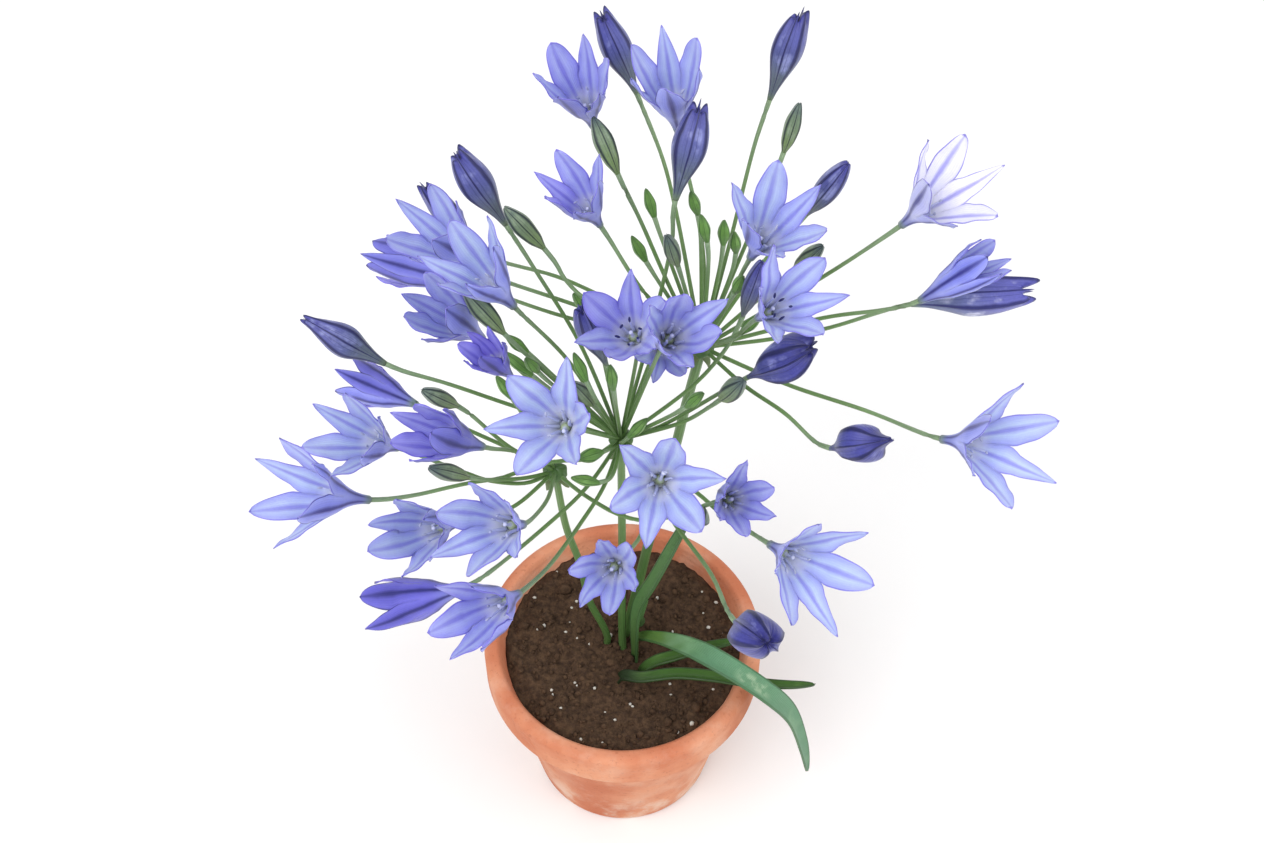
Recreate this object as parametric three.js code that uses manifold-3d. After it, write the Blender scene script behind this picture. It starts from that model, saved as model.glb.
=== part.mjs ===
// A potted Ithuriel's spear: three flower stalks that rise from one clump, each ending in an umbel of
// blue-violet funnel flowers, in a plain clay pot. Millimetres, +Z up, origin under the middle of the pot.
import * as THREE from 'three';
import { mergeVertices } from 'three/addons/utils/BufferGeometryUtils.js';
import Module from 'manifold-3d';

const wasm = await Module();
wasm.setup();

// Pot and soil
const potHeight = 86;
const potFootRadius = 35;
const potNeckRadius = 45.5;
const potRimRadius = 52;
const potRimHeight = 19;
const potWall = 5;
const potFloor = 6;
const potSides = 24;
const drainRadius = 4;
const drainCircle = 18;
const soilLevel = 78;
const fitGap = 0.3;

// Corms and stalks
const cormRadius = 7;
const cormHeight = 13;
const cormLevel = 42;
const stalkHeight = 135;
const pedicelRadius = 1.15;
const knobRadius = 4.2;

// Flowers, buds and leaves
const tubeLength = 13;
const lobeLength = 23;
const mouthRadius = 6.6;
const meanLean = 32;
const neckRadius = 1.3;
const waistRadius = 3.4;
const broadLobeWidth = 10;
const narrowLobeWidth = 8.4;
const lobeCup = 0.22;
const petalThickness = 0.7;
const largeBudLength = 29;
const mediumBudLength = 18;
const smallBudLength = 9.5;
const smallBudWidth = 4;
const leafThickness = 1.1;
const leafHoleRadius = 3.35;

// How far a lobe leans out from the flower's axis where it parts from the tube and at its tip, in degrees,
// for a closed and for a fully open flower, and how much more a narrow lobe does
const lobeStartLean = [8, 18];
const lobeEndLean = [-8, 46];
const narrowLobeLean = 3;

// How finely stems and leaves are made, and the straight end of a stem
const scapeSides = 7;
const scapeSteps = 12;
const pedicelStep = 15;
const leafStep = 12;
const straightRun = 6;

// The photograph's view of the plant: pixels of its 1264 x 843 frame, and millimetres from the viewer
const frameMiddle = [632, 421.5];
const viewTilt = THREE.MathUtils.degToRad(52);
const viewSpread = 2040;
const viewDistance = 600;
const middleHubPixel = [620, 505];
const forward = new THREE.Vector3(0, Math.cos(viewTilt), -Math.sin(viewTilt));
const rightward = new THREE.Vector3(1, 0, 0);
const upward = new THREE.Vector3(0, Math.sin(viewTilt), Math.cos(viewTilt));
const middleHub = new THREE.Vector3(0, 0, soilLevel + stalkHeight);
const viewer = middleHub.clone().addScaledVector(sightLine(middleHubPixel), -viewDistance);

const colours = {
  clay: 0xb5694a, soil: 0x3b2c22, corm: 0x8a6a45, stalk: 0x5f8a46, leaf: 0x5f9a72, darkLeaf: 0x44682f,
  petal: 0x9a9fe6, deepPetal: 0x7a74d2, bud: 0x55559f,
};

// Each umbel's hub in the photograph, how much nearer it is than the middle one, its stalk's way down
// and where the stalk meets the soil and its corm
const umbels = {
  middle: { hub: [620, 505], near: 0, radius: 1.5, via: [[621, 600]], foot: [0, 0], corm: [1, -3] },
  left: { hub: [548, 540], near: -2, radius: 1.4, via: [[560, 600], [575, 640], [585, 680]],
    foot: [-5.9, 1.8], corm: [-15, 2] },
  right: { hub: [708, 405], near: 6, radius: 1.9, via: [[690, 470], [680, 510], [652, 610], [632, 690]],
    foot: [1, 5.6], corm: [-1, 15] },
};

// Open and half open flowers. base is where the stalk ends, centre is the middle of the six tips and tip is
// one of them. near is how much closer than the middle hub the base is, and via is the stalk's way, which bow
// brings nearer halfway along. open goes from 0, lobes straight ahead, to 1, lobes laid wide; size scales a
// small flower, and away turns a flower's face from the viewer.
const blooms = [
  { umbel: 'right', base: [590, 165], centre: [567, 99], tip: [532, 108], near: 8, open: 0.36,
    via: [[640, 250]] },
  { umbel: 'right', base: [597, 272], centre: [561, 221], tip: [533, 215], near: 34, open: 0.4, size: 0.85,
    via: [[613, 300], [645, 345]], bow: 6 },
  { umbel: 'right', base: [465, 320], centre: [402, 265], tip: [376, 243], near: -2, open: 0.42,
    via: [[484, 327], [550, 352]] },
  { umbel: 'right', base: [450, 335], centre: [352, 305], tip: [334, 303], near: -30, open: 0.15, away: true,
    via: [[560, 372]] },
  { umbel: 'middle', base: [503, 360], centre: [444, 300], tip: [398, 302], near: 36, open: 0.4,
    via: [[545, 400], [563, 420]] },
  { umbel: 'middle', base: [469, 395], centre: [408, 354], tip: [395, 348], near: 10, open: 0.2,
    via: [[540, 455]] },
  { umbel: 'right', base: [682, 170], centre: [668, 90], tip: [642, 82], near: 22, open: 0.36,
    via: [[713, 195], [709, 300]] },
  { umbel: 'right', base: [761, 307], centre: [797, 250], tip: [748, 222], near: 46, open: 0.55,
    via: [[748, 330], [735, 355]] },
  { umbel: 'right', base: [769, 373], centre: [819, 349], tip: [791, 301], near: 58, open: 0.55,
    via: [[745, 392]] },
  { umbel: 'right', base: [925, 272], centre: [994, 219], tip: [1035, 210], near: 22, open: 0.6,
    via: [[900, 290], [845, 325]] },
  { umbel: 'right', base: [945, 354], centre: [1030, 306], tip: [1045, 304], near: 14, open: 0.1, size: 0.85,
    via: [[900, 365], [845, 372]] },
  { umbel: 'middle', base: [638, 399], centre: [616, 374], tip: [624, 322], near: 34, open: 0.5, via: [] },
  { umbel: 'middle', base: [667, 401], centre: [693, 380], tip: [689, 343], near: 66, open: 0.36, size: 0.95,
    via: [] },
  { umbel: 'middle', base: [662, 400], centre: [672, 414], tip: [664, 432], near: 14, open: 0.4, size: 0.7,
    via: [] },
  { umbel: 'middle', base: [661, 549], centre: [665, 560], tip: [681, 507], near: 58, open: 0.7, via: [] },
  { umbel: 'middle', base: [733, 571], centre: [757, 573], tip: [757, 532], near: 43, open: 0.36, size: 0.85,
    via: [[700, 577]] },
  { umbel: 'middle', base: [783, 620], centre: [848, 659], tip: [902, 667], near: 42, open: 0.8,
    via: [[758, 602], [728, 585], [705, 565]] },
  { umbel: 'middle', base: [616, 641], centre: [601, 656], tip: [574, 679], near: 48, open: 0.4, size: 0.9,
    via: [[643, 605]] },
  { umbel: 'left', base: [397, 467], centre: [325, 438], tip: [318, 435], near: 10, open: 0.2, size: 0.85,
    away: true, via: [[437, 487], [503, 517]] },
  { umbel: 'left', base: [376, 514], centre: [311, 499], tip: [293, 480], near: 22, open: 0.46, size: 0.95,
    via: [[410, 527], [470, 549]] },
  { umbel: 'left', base: [469, 513], centre: [392, 492], tip: [378, 482], near: 40, open: 0.2, size: 0.95,
    via: [[503, 518]] },
  { umbel: 'left', base: [345, 571], centre: [243, 560], tip: [220, 532], near: 18, open: 0.7,
    via: [[430, 559], [470, 550]] },
  { umbel: 'left', base: [437, 598], centre: [376, 612], tip: [349, 597], near: 34, open: 0.35,
    via: [[500, 580]] },
  { umbel: 'left', base: [513, 598], centre: [455, 603], tip: [456, 560], near: 50, open: 0.5,
    via: [[525, 590], [540, 570]] },
  { umbel: 'middle', base: [447, 668], centre: [356, 690], tip: [350, 665], near: 38, open: 0.15, away: true,
    via: [[464, 660], [540, 598], [582, 558]] },
  { umbel: 'middle', base: [508, 674], centre: [447, 708], tip: [434, 761], near: 52, open: 0.45,
    via: [[540, 645], [575, 598], [602, 555]] },
  { umbel: 'left', base: [500, 436], centre: [462, 400], tip: [455, 410], near: 34, open: 0.15, size: 0.7,
    via: [] },
  { umbel: 'middle', base: [565, 492], centre: [530, 483], tip: [498, 437], near: 58, open: 0.7, via: [] },
  { umbel: 'right', base: [970, 505], centre: [1057, 515], tip: [1062, 447], near: 30, open: 0.85,
    via: [[890, 475], [800, 445]] },
];

// Blue buds nearly ready to open
const largeBuds = [
  { umbel: 'right', base: [637, 130], tip: [600, 47], near: 6, width: 11, via: [[665, 200], [677, 245]] },
  { umbel: 'middle', base: [495, 272], tip: [442, 196], near: 18, width: 11.5,
    via: [[525, 318], [575, 400]] },
  { umbel: 'right', base: [462, 298], tip: [408, 231], near: -22, width: 9.5, via: [[550, 328], [590, 345]] },
  { umbel: 'middle', base: [364, 423], tip: [276, 374], near: 8, width: 11.5, via: [[430, 444], [507, 470]] },
  { umbel: 'middle', base: [604, 424], tip: [577, 363], near: 30, width: 9.5, via: [[617, 432]] },
  { umbel: 'middle', base: [679, 245], tip: [705, 146], near: 36, width: 12,
    via: [[676, 285], [660, 358]], bow: -9 },
  { umbel: 'right', base: [781, 137], tip: [813, 47], near: 10, width: 11, via: [[765, 185], [736, 300]] },
  { umbel: 'right', base: [820, 262], tip: [866, 206], near: 24, width: 8.5, via: [[775, 312]] },
  { umbel: 'middle', base: [752, 372], tip: [773, 312], near: 28, width: 7, via: [[735, 405], [700, 445]],
    bow: -6 },
  { umbel: 'right', base: [935, 358], tip: [1069, 352], near: -2, width: 13.5,
    via: [[845, 384], [790, 395]] },
  { umbel: 'middle', base: [757, 438], tip: [832, 403], near: 36, width: 13, via: [[725, 456], [660, 492]] },
  { umbel: 'right', base: [847, 515], tip: [914, 505], near: 34, width: 12.5, via: [[800, 478], [755, 447]] },
  { umbel: 'middle', base: [744, 704], tip: [789, 722], near: 42, width: 13, via: [[720, 655], [677, 595]] },
];

// Grey-green buds of middle size
const mediumBuds = [
  { umbel: 'right', base: [617, 218], tip: [591, 158], near: 26, width: 7.2, via: [[640, 265], [678, 350]] },
  { umbel: 'right', base: [537, 298], tip: [495, 255], near: 22, width: 7.2,
    via: [[560, 332], [585, 355], [650, 380]], bow: 12 },
  { umbel: 'middle', base: [493, 390], tip: [451, 345], near: 34, width: 7.6, via: [] },
  { umbel: 'right', base: [796, 195], tip: [813, 143], near: 14, width: 6, via: [] },
  { umbel: 'right', base: [808, 320], tip: [838, 296], near: 20, width: 6, via: [] },
  { umbel: 'middle', base: [728, 462], tip: [752, 442], near: 30, width: 7, via: [[690, 485]] },
  { umbel: 'middle', base: [703, 580], tip: [709, 597], near: 28, width: 6, via: [] },
  { umbel: 'left', base: [443, 469], tip: [405, 452], near: 20, width: 6.2, via: [[498, 513]] },
  { umbel: 'left', base: [455, 547], tip: [413, 536], near: 22, width: 6.2, via: [] },
  { umbel: 'right', base: [682, 317], tip: [670, 285], near: 30, width: 5.6, via: [] },
  { umbel: 'middle', base: [590, 468], tip: [568, 445], near: 18, width: 6.4, via: [] },
];

// Small green buds
const smallBuds = [
  { umbel: 'right', base: [657, 266], tip: [647, 234], near: 8 },
  { umbel: 'right', base: [648, 313], tip: [632, 285], near: 10 },
  { umbel: 'right', base: [704, 262], tip: [696, 237], near: 26 },
  { umbel: 'right', base: [714, 292], tip: [707, 262], near: 30 },
  { umbel: 'right', base: [731, 295], tip: [732, 268], near: 22 },
  { umbel: 'right', base: [745, 303], tip: [743, 281], near: 14 },
  { umbel: 'right', base: [743, 346], tip: [752, 328], near: 34 },
  { umbel: 'right', base: [750, 390], tip: [772, 370], near: 36 },
  { umbel: 'middle', base: [585, 365], tip: [569, 347], near: 12 },
  { umbel: 'middle', base: [583, 443], tip: [569, 412], near: 34 },
  { umbel: 'middle', base: [612, 452], tip: [608, 425], near: 44 },
  { umbel: 'middle', base: [525, 437], tip: [492, 410], near: 18 },
  { umbel: 'left', base: [503, 462], tip: [485, 437], near: 12 },
  { umbel: 'middle', base: [520, 412], tip: [495, 392], near: 14 },
  { umbel: 'middle', base: [530, 432], tip: [517, 417], near: 26 },
  { umbel: 'middle', base: [628, 503], tip: [648, 483], near: 16 },
  { umbel: 'middle', base: [690, 470], tip: [709, 455], near: 36 },
  { umbel: 'middle', base: [597, 553], tip: [567, 547], near: 20 },
  { umbel: 'middle', base: [600, 520], tip: [578, 526], near: 14 },
];

// Leaves: foot in the soil, then points seen in the photograph with their height above the table
const leaves = [
  { name: 'leaf_broad', foot: [5.7, 2.2], width: 8.4, colour: 'leaf', channel: 0.16,
    path: [[660, 722, 92], [700, 735, 103], [740, 757, 105], [775, 780, 99], [802, 803, 80], [817, 838, 52],
      [824, 868, 26]] },
  { name: 'leaf_trailing', foot: [0, -14], width: 4.6, colour: 'darkLeaf', channel: 0.24,
    path: [[644, 766, 87], [680, 762, 90], [720, 765, 92], [765, 772, 91], [800, 774, 89], [832, 773, 84]] },
  { name: 'leaf_short', foot: [7.5, -12], width: 4.6, colour: 'darkLeaf', channel: 0.24,
    path: [[657, 749, 87], [680, 742, 91], [715, 732, 95], [752, 724, 98]] },
  { name: 'leaf_upright', foot: [5.3, -4.4], width: 5.6, colour: 'darkLeaf', channel: 0.3,
    path: [[640, 690, 104], [660, 655, 125], [690, 600, 155], [700, 580, 165]] },
  { name: 'leaf_slender', foot: [6.8, 9], width: 3.6, colour: 'darkLeaf', channel: 0.2,
    path: [[640, 702, 92], [648, 680, 105]] },
];

// Direction of the line of sight through a pixel, one millimetre deep along the view
function sightLine(pixel) {
  return forward.clone()
    .addScaledVector(rightward, (pixel[0] - frameMiddle[0]) / viewSpread)
    .addScaledVector(upward, (frameMiddle[1] - pixel[1]) / viewSpread);
}

function seen(pixel, near) {
  return viewer.clone().addScaledVector(sightLine(pixel), viewDistance - near);
}

function seenAtHeight(pixel, height) {
  const line = sightLine(pixel);
  return viewer.clone().addScaledVector(line, (height - viewer.z) / line.z);
}

// The point on a pixel's line of sight that lies a given length from another point, towards the viewer
// unless it points away, or the closest point where the line passes farther off
function reach(from, pixel, length, away) {
  const line = sightLine(pixel).normalize();
  const across = from.clone().sub(viewer);
  const along = across.dot(line);
  const miss = across.lengthSq() - along * along;
  const depth = Math.sqrt(Math.max(length * length - miss, 0));
  return viewer.clone().addScaledVector(line, along + (away ? depth : -depth));
}

function solidFrom(positions, triangles) {
  const geometry = new THREE.BufferGeometry();
  const flat = positions.flatMap((p) => p.toArray());
  geometry.setAttribute('position', new THREE.Float32BufferAttribute(flat, 3));
  geometry.setIndex(triangles.flat());
  return geometry;
}

function toManifold(geometry) {
  const bare = geometry.clone();
  bare.deleteAttribute('normal');
  bare.deleteAttribute('uv');
  const merged = mergeVertices(bare, 1e-4);
  const triangles = [];
  for (let i = 0; i < merged.index.count; i += 3) {
    const corners = [merged.index.getX(i), merged.index.getX(i + 1), merged.index.getX(i + 2)];
    if (new Set(corners).size === 3) {
      triangles.push(...corners);
    }
  }
  const vertProperties = new Float32Array(merged.attributes.position.array);
  const triVerts = new Uint32Array(triangles);
  return new wasm.Manifold(new wasm.Mesh({ numProp: 3, vertProperties, triVerts }));
}

function fromManifold(solid) {
  const mesh = solid.getMesh();
  const geometry = new THREE.BufferGeometry();
  geometry.setAttribute('position', new THREE.Float32BufferAttribute(mesh.vertProperties, 3));
  geometry.setIndex(Array.from(mesh.triVerts));
  return geometry;
}

// Joins rings of points, each with the same number of corners, into one solid closed at both ends
function loft(rings) {
  const corners = rings[0].length;
  const positions = rings.flat();
  const triangles = [];
  for (let r = 0; r + 1 < rings.length; r += 1) {
    for (let c = 0; c < corners; c += 1) {
      const next = (c + 1) % corners;
      const [a, b] = [r * corners + c, r * corners + next];
      triangles.push([a, b, b + corners], [a, b + corners, a + corners]);
    }
  }
  const last = (rings.length - 1) * corners;
  for (let c = 1; c + 1 < corners; c += 1) {
    triangles.push([0, c + 1, c], [last, last + c, last + c + 1]);
  }
  return solidFrom(positions, triangles);
}

// Any direction at right angles to an axis, and the one that completes the frame
function crossFrame(axis) {
  const helper = Math.abs(axis.x) < 0.7 ? new THREE.Vector3(1, 0, 0) : new THREE.Vector3(0, 1, 0);
  const first = helper.addScaledVector(axis, -helper.dot(axis)).normalize();
  return [first, new THREE.Vector3().crossVectors(axis, first)];
}

function ring(centre, first, second, radius, sides) {
  return Array.from({ length: sides }, (unused, i) => {
    const angle = (2 * Math.PI * i) / sides;
    return centre.clone()
      .addScaledVector(first, radius * Math.cos(angle))
      .addScaledVector(second, radius * Math.sin(angle));
  });
}

// A stem of round section along a curve, its radius given from start to end
function stem(curve, startRadius, endRadius, sides, steps) {
  const frames = curve.computeFrenetFrames(steps, false);
  const rings = frames.tangents.map((unused, i) => {
    const radius = THREE.MathUtils.lerp(startRadius, endRadius, i / steps);
    return ring(curve.getPointAt(i / steps), frames.normals[i], frames.binormals[i], radius, sides);
  });
  return loft(rings);
}

// A bud: rings of six corners or so along an axis, so that its ribs stand out
function bud(base, tip, width, profile, corners = 6) {
  const length = base.distanceTo(tip);
  const axis = tip.clone().sub(base).normalize();
  const [first, second] = crossFrame(axis);
  return loft(profile.map(([along, wide]) => {
    const centre = base.clone().addScaledVector(axis, along * length);
    return ring(centre, first, second, (wide * width) / 2, corners);
  }));
}

const largeBudProfile = [[0, 0.24], [0.16, 0.42], [0.38, 0.78], [0.62, 1], [0.85, 0.86], [1, 0.34]];
const greenBudProfile = [[0, 0.3], [0.3, 0.82], [0.62, 1], [1, 0.26]];
const smallBudProfile = [[0, 0.34], [0.5, 1], [1, 0.24]];

// Gives an open surface its thickness: both faces share one set of triangles, and the rim is closed
function thicken(points, faces, thickness) {
  const normals = points.map(() => new THREE.Vector3());
  const seams = new Map();
  for (const [a, b, c] of faces) {
    const normal = points[b].clone().sub(points[a]).cross(points[c].clone().sub(points[a]));
    for (const [from, to] of [[a, b], [b, c], [c, a]]) {
      normals[from].add(normal);
      seams.set(`${from} ${to}`, [from, to]);
    }
  }
  const shift = (side) => points.map((p, i) =>
    p.clone().addScaledVector(normals[i].clone().normalize(), (side * thickness) / 2));
  const count = points.length;
  const triangles = [...faces];
  triangles.push(...faces.map(([a, b, c]) => [a + count, c + count, b + count]));
  for (const [from, to] of seams.values()) {
    if (!seams.has(`${to} ${from}`)) {
      triangles.push([to, from, from + count], [to, from + count, to + count]);
    }
  }
  return solidFrom([...shift(1), ...shift(-1)], triangles);
}

// Where a flower stands: its base, the way it faces, the way its first lobe points and its scale
function bloomPlace(bloom) {
  const size = bloom.size ?? 1;
  const base = seen(bloom.base, bloom.near);
  const reachOfLobes = lobeLength * Math.cos(THREE.MathUtils.degToRad(meanLean * bloom.open));
  const centre = reach(base, bloom.centre, (tubeLength + reachOfLobes) * size, bloom.away);
  const axis = centre.clone().sub(base).normalize();
  const line = sightLine(bloom.tip);
  const depth = centre.clone().sub(viewer).dot(axis) / line.dot(axis);
  const first = viewer.clone().addScaledVector(line, depth).sub(centre).normalize();
  return { base, axis, first, second: new THREE.Vector3().crossVectors(axis, first), size };
}

// A flower: a narrow tube that widens into a funnel and parts into six lobes, three narrow and three broad
function bloomSolid(bloom) {
  const { base, axis, first, second, size } = bloomPlace(bloom);
  const points = [];
  const faces = [];
  const put = (along, radius, angle, aside = 0) => {
    const outward = first.clone().multiplyScalar(Math.cos(angle)).addScaledVector(second, Math.sin(angle));
    const sideways = second.clone().multiplyScalar(Math.cos(angle)).addScaledVector(first, -Math.sin(angle));
    points.push(base.clone().addScaledVector(axis, along * size)
      .addScaledVector(outward, radius * size).addScaledVector(sideways, aside * size));
    return points.length - 1;
  };
  const turn = Math.PI / 6;
  const mouth = mouthRadius * (0.8 + 0.2 * bloom.open);
  const apex = put(0, 0, 0);
  const neck = Array.from({ length: 6 }, (unused, i) => put(0, neckRadius, 2 * i * turn));
  const waist = Array.from({ length: 6 }, (unused, i) => put(tubeLength / 2, waistRadius, 2 * i * turn));
  const rim = Array.from({ length: 12 }, (unused, i) => put(tubeLength, mouth, i * turn));
  for (let i = 0; i < 6; i += 1) {
    const after = (i + 1) % 6;
    faces.push([apex, neck[after], neck[i]]);
    faces.push([neck[i], waist[after], waist[i]], [neck[i], neck[after], waist[after]]);
    faces.push([waist[i], rim[2 * i + 1], rim[2 * i]], [waist[i], waist[after], rim[2 * i + 1]]);
    faces.push([waist[after], rim[2 * after], rim[2 * i + 1]]);
  }
  const stations = [[0.36, 1], [0.72, 0.8]];
  for (let lobe = 0; lobe < 6; lobe += 1) {
    const angle = 2 * lobe * turn;
    const halfWidth = (lobe % 2 ? broadLobeWidth : narrowLobeWidth) / 2;
    const extraLean = lobe % 2 ? 0 : narrowLobeLean;
    const lobeLean = ([closed, wide]) =>
      THREE.MathUtils.degToRad(THREE.MathUtils.lerp(closed, wide, bloom.open) + extraLean);
    const startLean = lobeLean(lobeStartLean);
    const endLean = lobeLean(lobeEndLean);
    const midline = (s) => {
      const lean = startLean + ((endLean - startLean) * s) / 2;
      return [tubeLength + lobeLength * s * Math.cos(lean), mouth + lobeLength * s * Math.sin(lean), lean];
    };
    let [left, middle, right] = [rim[(2 * lobe + 11) % 12], rim[2 * lobe], rim[(2 * lobe + 1) % 12]];
    for (const [s, wide] of stations) {
      const [along, radius, lean] = midline(s);
      const cup = lobeCup * halfWidth;
      const edge = radius - cup * Math.cos(lean);
      const half = Math.min(halfWidth * wide, edge * 0.5);
      const row = [
        put(along + cup * Math.sin(lean), edge, angle, -half),
        put(along, radius, angle),
        put(along + cup * Math.sin(lean), edge, angle, half),
      ];
      faces.push([left, middle, row[1]], [left, row[1], row[0]]);
      faces.push([middle, right, row[1]], [right, row[2], row[1]]);
      [left, middle, right] = row;
    }
    const [along, radius] = midline(1);
    const tip = put(along, radius, angle);
    faces.push([left, middle, tip], [middle, right, tip]);
  }
  return thicken(points, faces, petalThickness);
}

// A leaf: a channelled strip from its foot in the soil, narrow there and at its tip
function leafSolid(leaf) {
  const foot = new THREE.Vector3(leaf.foot[0], leaf.foot[1], soilLevel - 15);
  const collar = foot.clone().setZ(soilLevel + 3);
  const path = leaf.path.map(([x, y, height]) => seenAtHeight([x, y], height));
  const curve = new THREE.CatmullRomCurve3([foot, collar, ...path], false, 'centripetal');
  const steps = Math.max(6, Math.round(curve.getLength() / leafStep));
  const heading = path[path.length - 1].clone().sub(foot).setZ(0).normalize();
  const level = new THREE.Vector3(-heading.y, heading.x, 0);
  const points = [];
  const faces = [];
  const narrowFoot = 1.9;
  for (let i = 0; i < steps; i += 1) {
    const s = i / steps;
    const tangent = curve.getTangentAt(s);
    const across = level.clone().addScaledVector(tangent, -level.dot(tangent)).normalize();
    const face = new THREE.Vector3().crossVectors(tangent, across);
    const spread = THREE.MathUtils.smoothstep(s, 0.1, 0.4);
    const taper = Math.sqrt(Math.max(1 - Math.pow(s, 5), 0));
    const half = THREE.MathUtils.lerp(narrowFoot, leaf.width / 2, spread) * taper;
    const middle = curve.getPointAt(s);
    const lifted = middle.clone().addScaledVector(face, half * leaf.channel * 2);
    points.push(lifted.clone().addScaledVector(across, half));
    points.push(middle);
    points.push(lifted.clone().addScaledVector(across, -half));
    if (i > 0) {
      const row = 3 * i;
      faces.push([row - 3, row - 2, row + 1], [row - 3, row + 1, row]);
      faces.push([row - 2, row - 1, row + 1], [row - 1, row + 2, row + 1]);
    }
  }
  points.push(curve.getPointAt(1));
  const tip = points.length - 1;
  faces.push([tip - 3, tip - 2, tip], [tip - 2, tip - 1, tip]);
  return thicken(points, faces, leafThickness);
}

// Points of a stalk between its hub and its end: the way seen in the photograph, evenly nearer or farther
function stalkRoute(start, startNear, startPixel, via, end, endNear, endPixel, bow = 0) {
  const pixels = [startPixel, ...via, endPixel];
  const lengths = pixels.slice(1).map((p, i) => Math.hypot(p[0] - pixels[i][0], p[1] - pixels[i][1]));
  const total = lengths.reduce((sum, length) => sum + length, 0);
  let travelled = 0;
  const between = via.map((pixel, i) => {
    travelled += lengths[i];
    const share = travelled / total;
    return seen(pixel, THREE.MathUtils.lerp(startNear, endNear, share) + bow * Math.sin(Math.PI * share));
  });
  return [start, ...between, end];
}

// A flower's own stalk, from the hub to just short of the flower's base, arriving along its axis
function pedicel(umbel, row, base, axis, gap) {
  const start = seen(umbel.hub, umbel.near);
  const end = base.clone().addScaledVector(axis, -gap);
  const via = [...(row.via ?? [])].reverse();
  const route = stalkRoute(start, umbel.near, umbel.hub, via, end, row.near, row.base, row.bow);
  const arriving = base.clone().addScaledVector(axis, -gap - straightRun);
  while (route.length > 2 && route[route.length - 2].distanceTo(end) < 1.5 * straightRun) {
    route.splice(route.length - 2, 1);
  }
  route.splice(route.length - 1, 0, arriving);
  const curve = new THREE.CatmullRomCurve3(route, false, 'centripetal');
  const steps = THREE.MathUtils.clamp(Math.round(curve.getLength() / pedicelStep), 3, 5);
  return stem(curve, pedicelRadius, pedicelRadius, 3, steps);
}

function scapeCurve(umbel) {
  const hub = seen(umbel.hub, umbel.near);
  const foot = new THREE.Vector3(umbel.foot[0], umbel.foot[1], soilLevel);
  const cormTop = new THREE.Vector3(umbel.corm[0], umbel.corm[1], cormLevel + cormHeight + 2 * fitGap);
  const footLine = foot.clone().sub(viewer);
  const footDepth = footLine.dot(forward);
  const footPixel = [
    frameMiddle[0] + (viewSpread * footLine.dot(rightward)) / footDepth,
    frameMiddle[1] - (viewSpread * footLine.dot(upward)) / footDepth,
  ];
  const route = stalkRoute(hub, umbel.near, umbel.hub, umbel.via, foot, viewDistance - footDepth, footPixel);
  const aboveCorm = cormTop.clone().setZ(cormTop.z + straightRun);
  return new THREE.CatmullRomCurve3([...route, aboveCorm, cormTop], false, 'centripetal');
}

// Three papery bracts below an umbel, laid back against its stalk
function bractSolid(hub, down, turn) {
  const [first, second] = crossFrame(down);
  const outward = first.clone().multiplyScalar(Math.cos(turn)).addScaledVector(second, Math.sin(turn));
  const aside = new THREE.Vector3().crossVectors(down, outward);
  const at = (along, out, side) => hub.clone().addScaledVector(down, along + 1.5)
    .addScaledVector(outward, out).addScaledVector(aside, side);
  const points = [at(0, 1, -1.6), at(0, 1, 1.6), at(5, 4.4, -1.9), at(5, 4.4, 1.9), at(11, 6.4, 0)];
  return thicken(points, [[0, 1, 3], [0, 3, 2], [2, 3, 4]], petalThickness);
}

// One flower stalk with all its pedicels, its green buds and its bracts
function stalkSolid(name) {
  const umbel = umbels[name];
  const hub = seen(umbel.hub, umbel.near);
  const curve = scapeCurve(umbel);
  const parts = [stem(curve, umbel.radius * 0.85, umbel.radius, scapeSides, scapeSteps)];
  parts.push(new THREE.IcosahedronGeometry(knobRadius, 1).translate(hub.x, hub.y, hub.z));
  const down = curve.getPointAt(0.08).sub(hub).normalize();
  for (const turn of [0.4, 2.5, 4.6]) {
    parts.push(bractSolid(hub, down, turn));
  }
  for (const bloom of blooms.filter((b) => b.umbel === name)) {
    const { base, axis } = bloomPlace(bloom);
    parts.push(pedicel(umbel, bloom, base, axis, petalThickness / 2 + fitGap));
  }
  for (const large of largeBuds.filter((b) => b.umbel === name)) {
    const { base, axis } = budPlace(large, largeBudLength);
    parts.push(pedicel(umbel, large, base, axis, fitGap));
  }
  const sunk = -2;
  for (const medium of mediumBuds.filter((b) => b.umbel === name)) {
    const { base, tip, axis } = budPlace(medium, mediumBudLength);
    parts.push(bud(base, tip, medium.width, greenBudProfile));
    parts.push(pedicel(umbel, medium, base, axis, sunk));
  }
  for (const small of smallBuds.filter((b) => b.umbel === name)) {
    const { base, tip, axis } = budPlace(small, smallBudLength);
    parts.push(bud(base, tip, smallBudWidth, smallBudProfile, 5));
    parts.push(pedicel(umbel, small, base, axis, sunk));
  }
  const whole = parts.map(toManifold).reduce((sum, part) => sum.add(part));
  return fromManifold(whole);
}

function budPlace(row, length) {
  const base = seen(row.base, row.near);
  const tip = reach(base, row.tip, length);
  return { base, tip, axis: tip.clone().sub(base).normalize() };
}

function cormProfile(extra) {
  const profile = [[0, 0], [0.66, 0.03], [1, 0.42], [0.7, 0.84], [0.28, 1], [0, 1]];
  const radius = cormRadius + extra;
  const height = cormHeight + 2 * extra;
  return profile.map(([r, z]) => new THREE.Vector2(r * radius, z * height - extra));
}

function turned(profile, sides) {
  return new THREE.LatheGeometry(profile, sides).rotateX(Math.PI / 2);
}

function cormSolid(umbel, extra) {
  return turned(cormProfile(extra), 10).translate(umbel.corm[0], umbel.corm[1], cormLevel);
}

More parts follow.
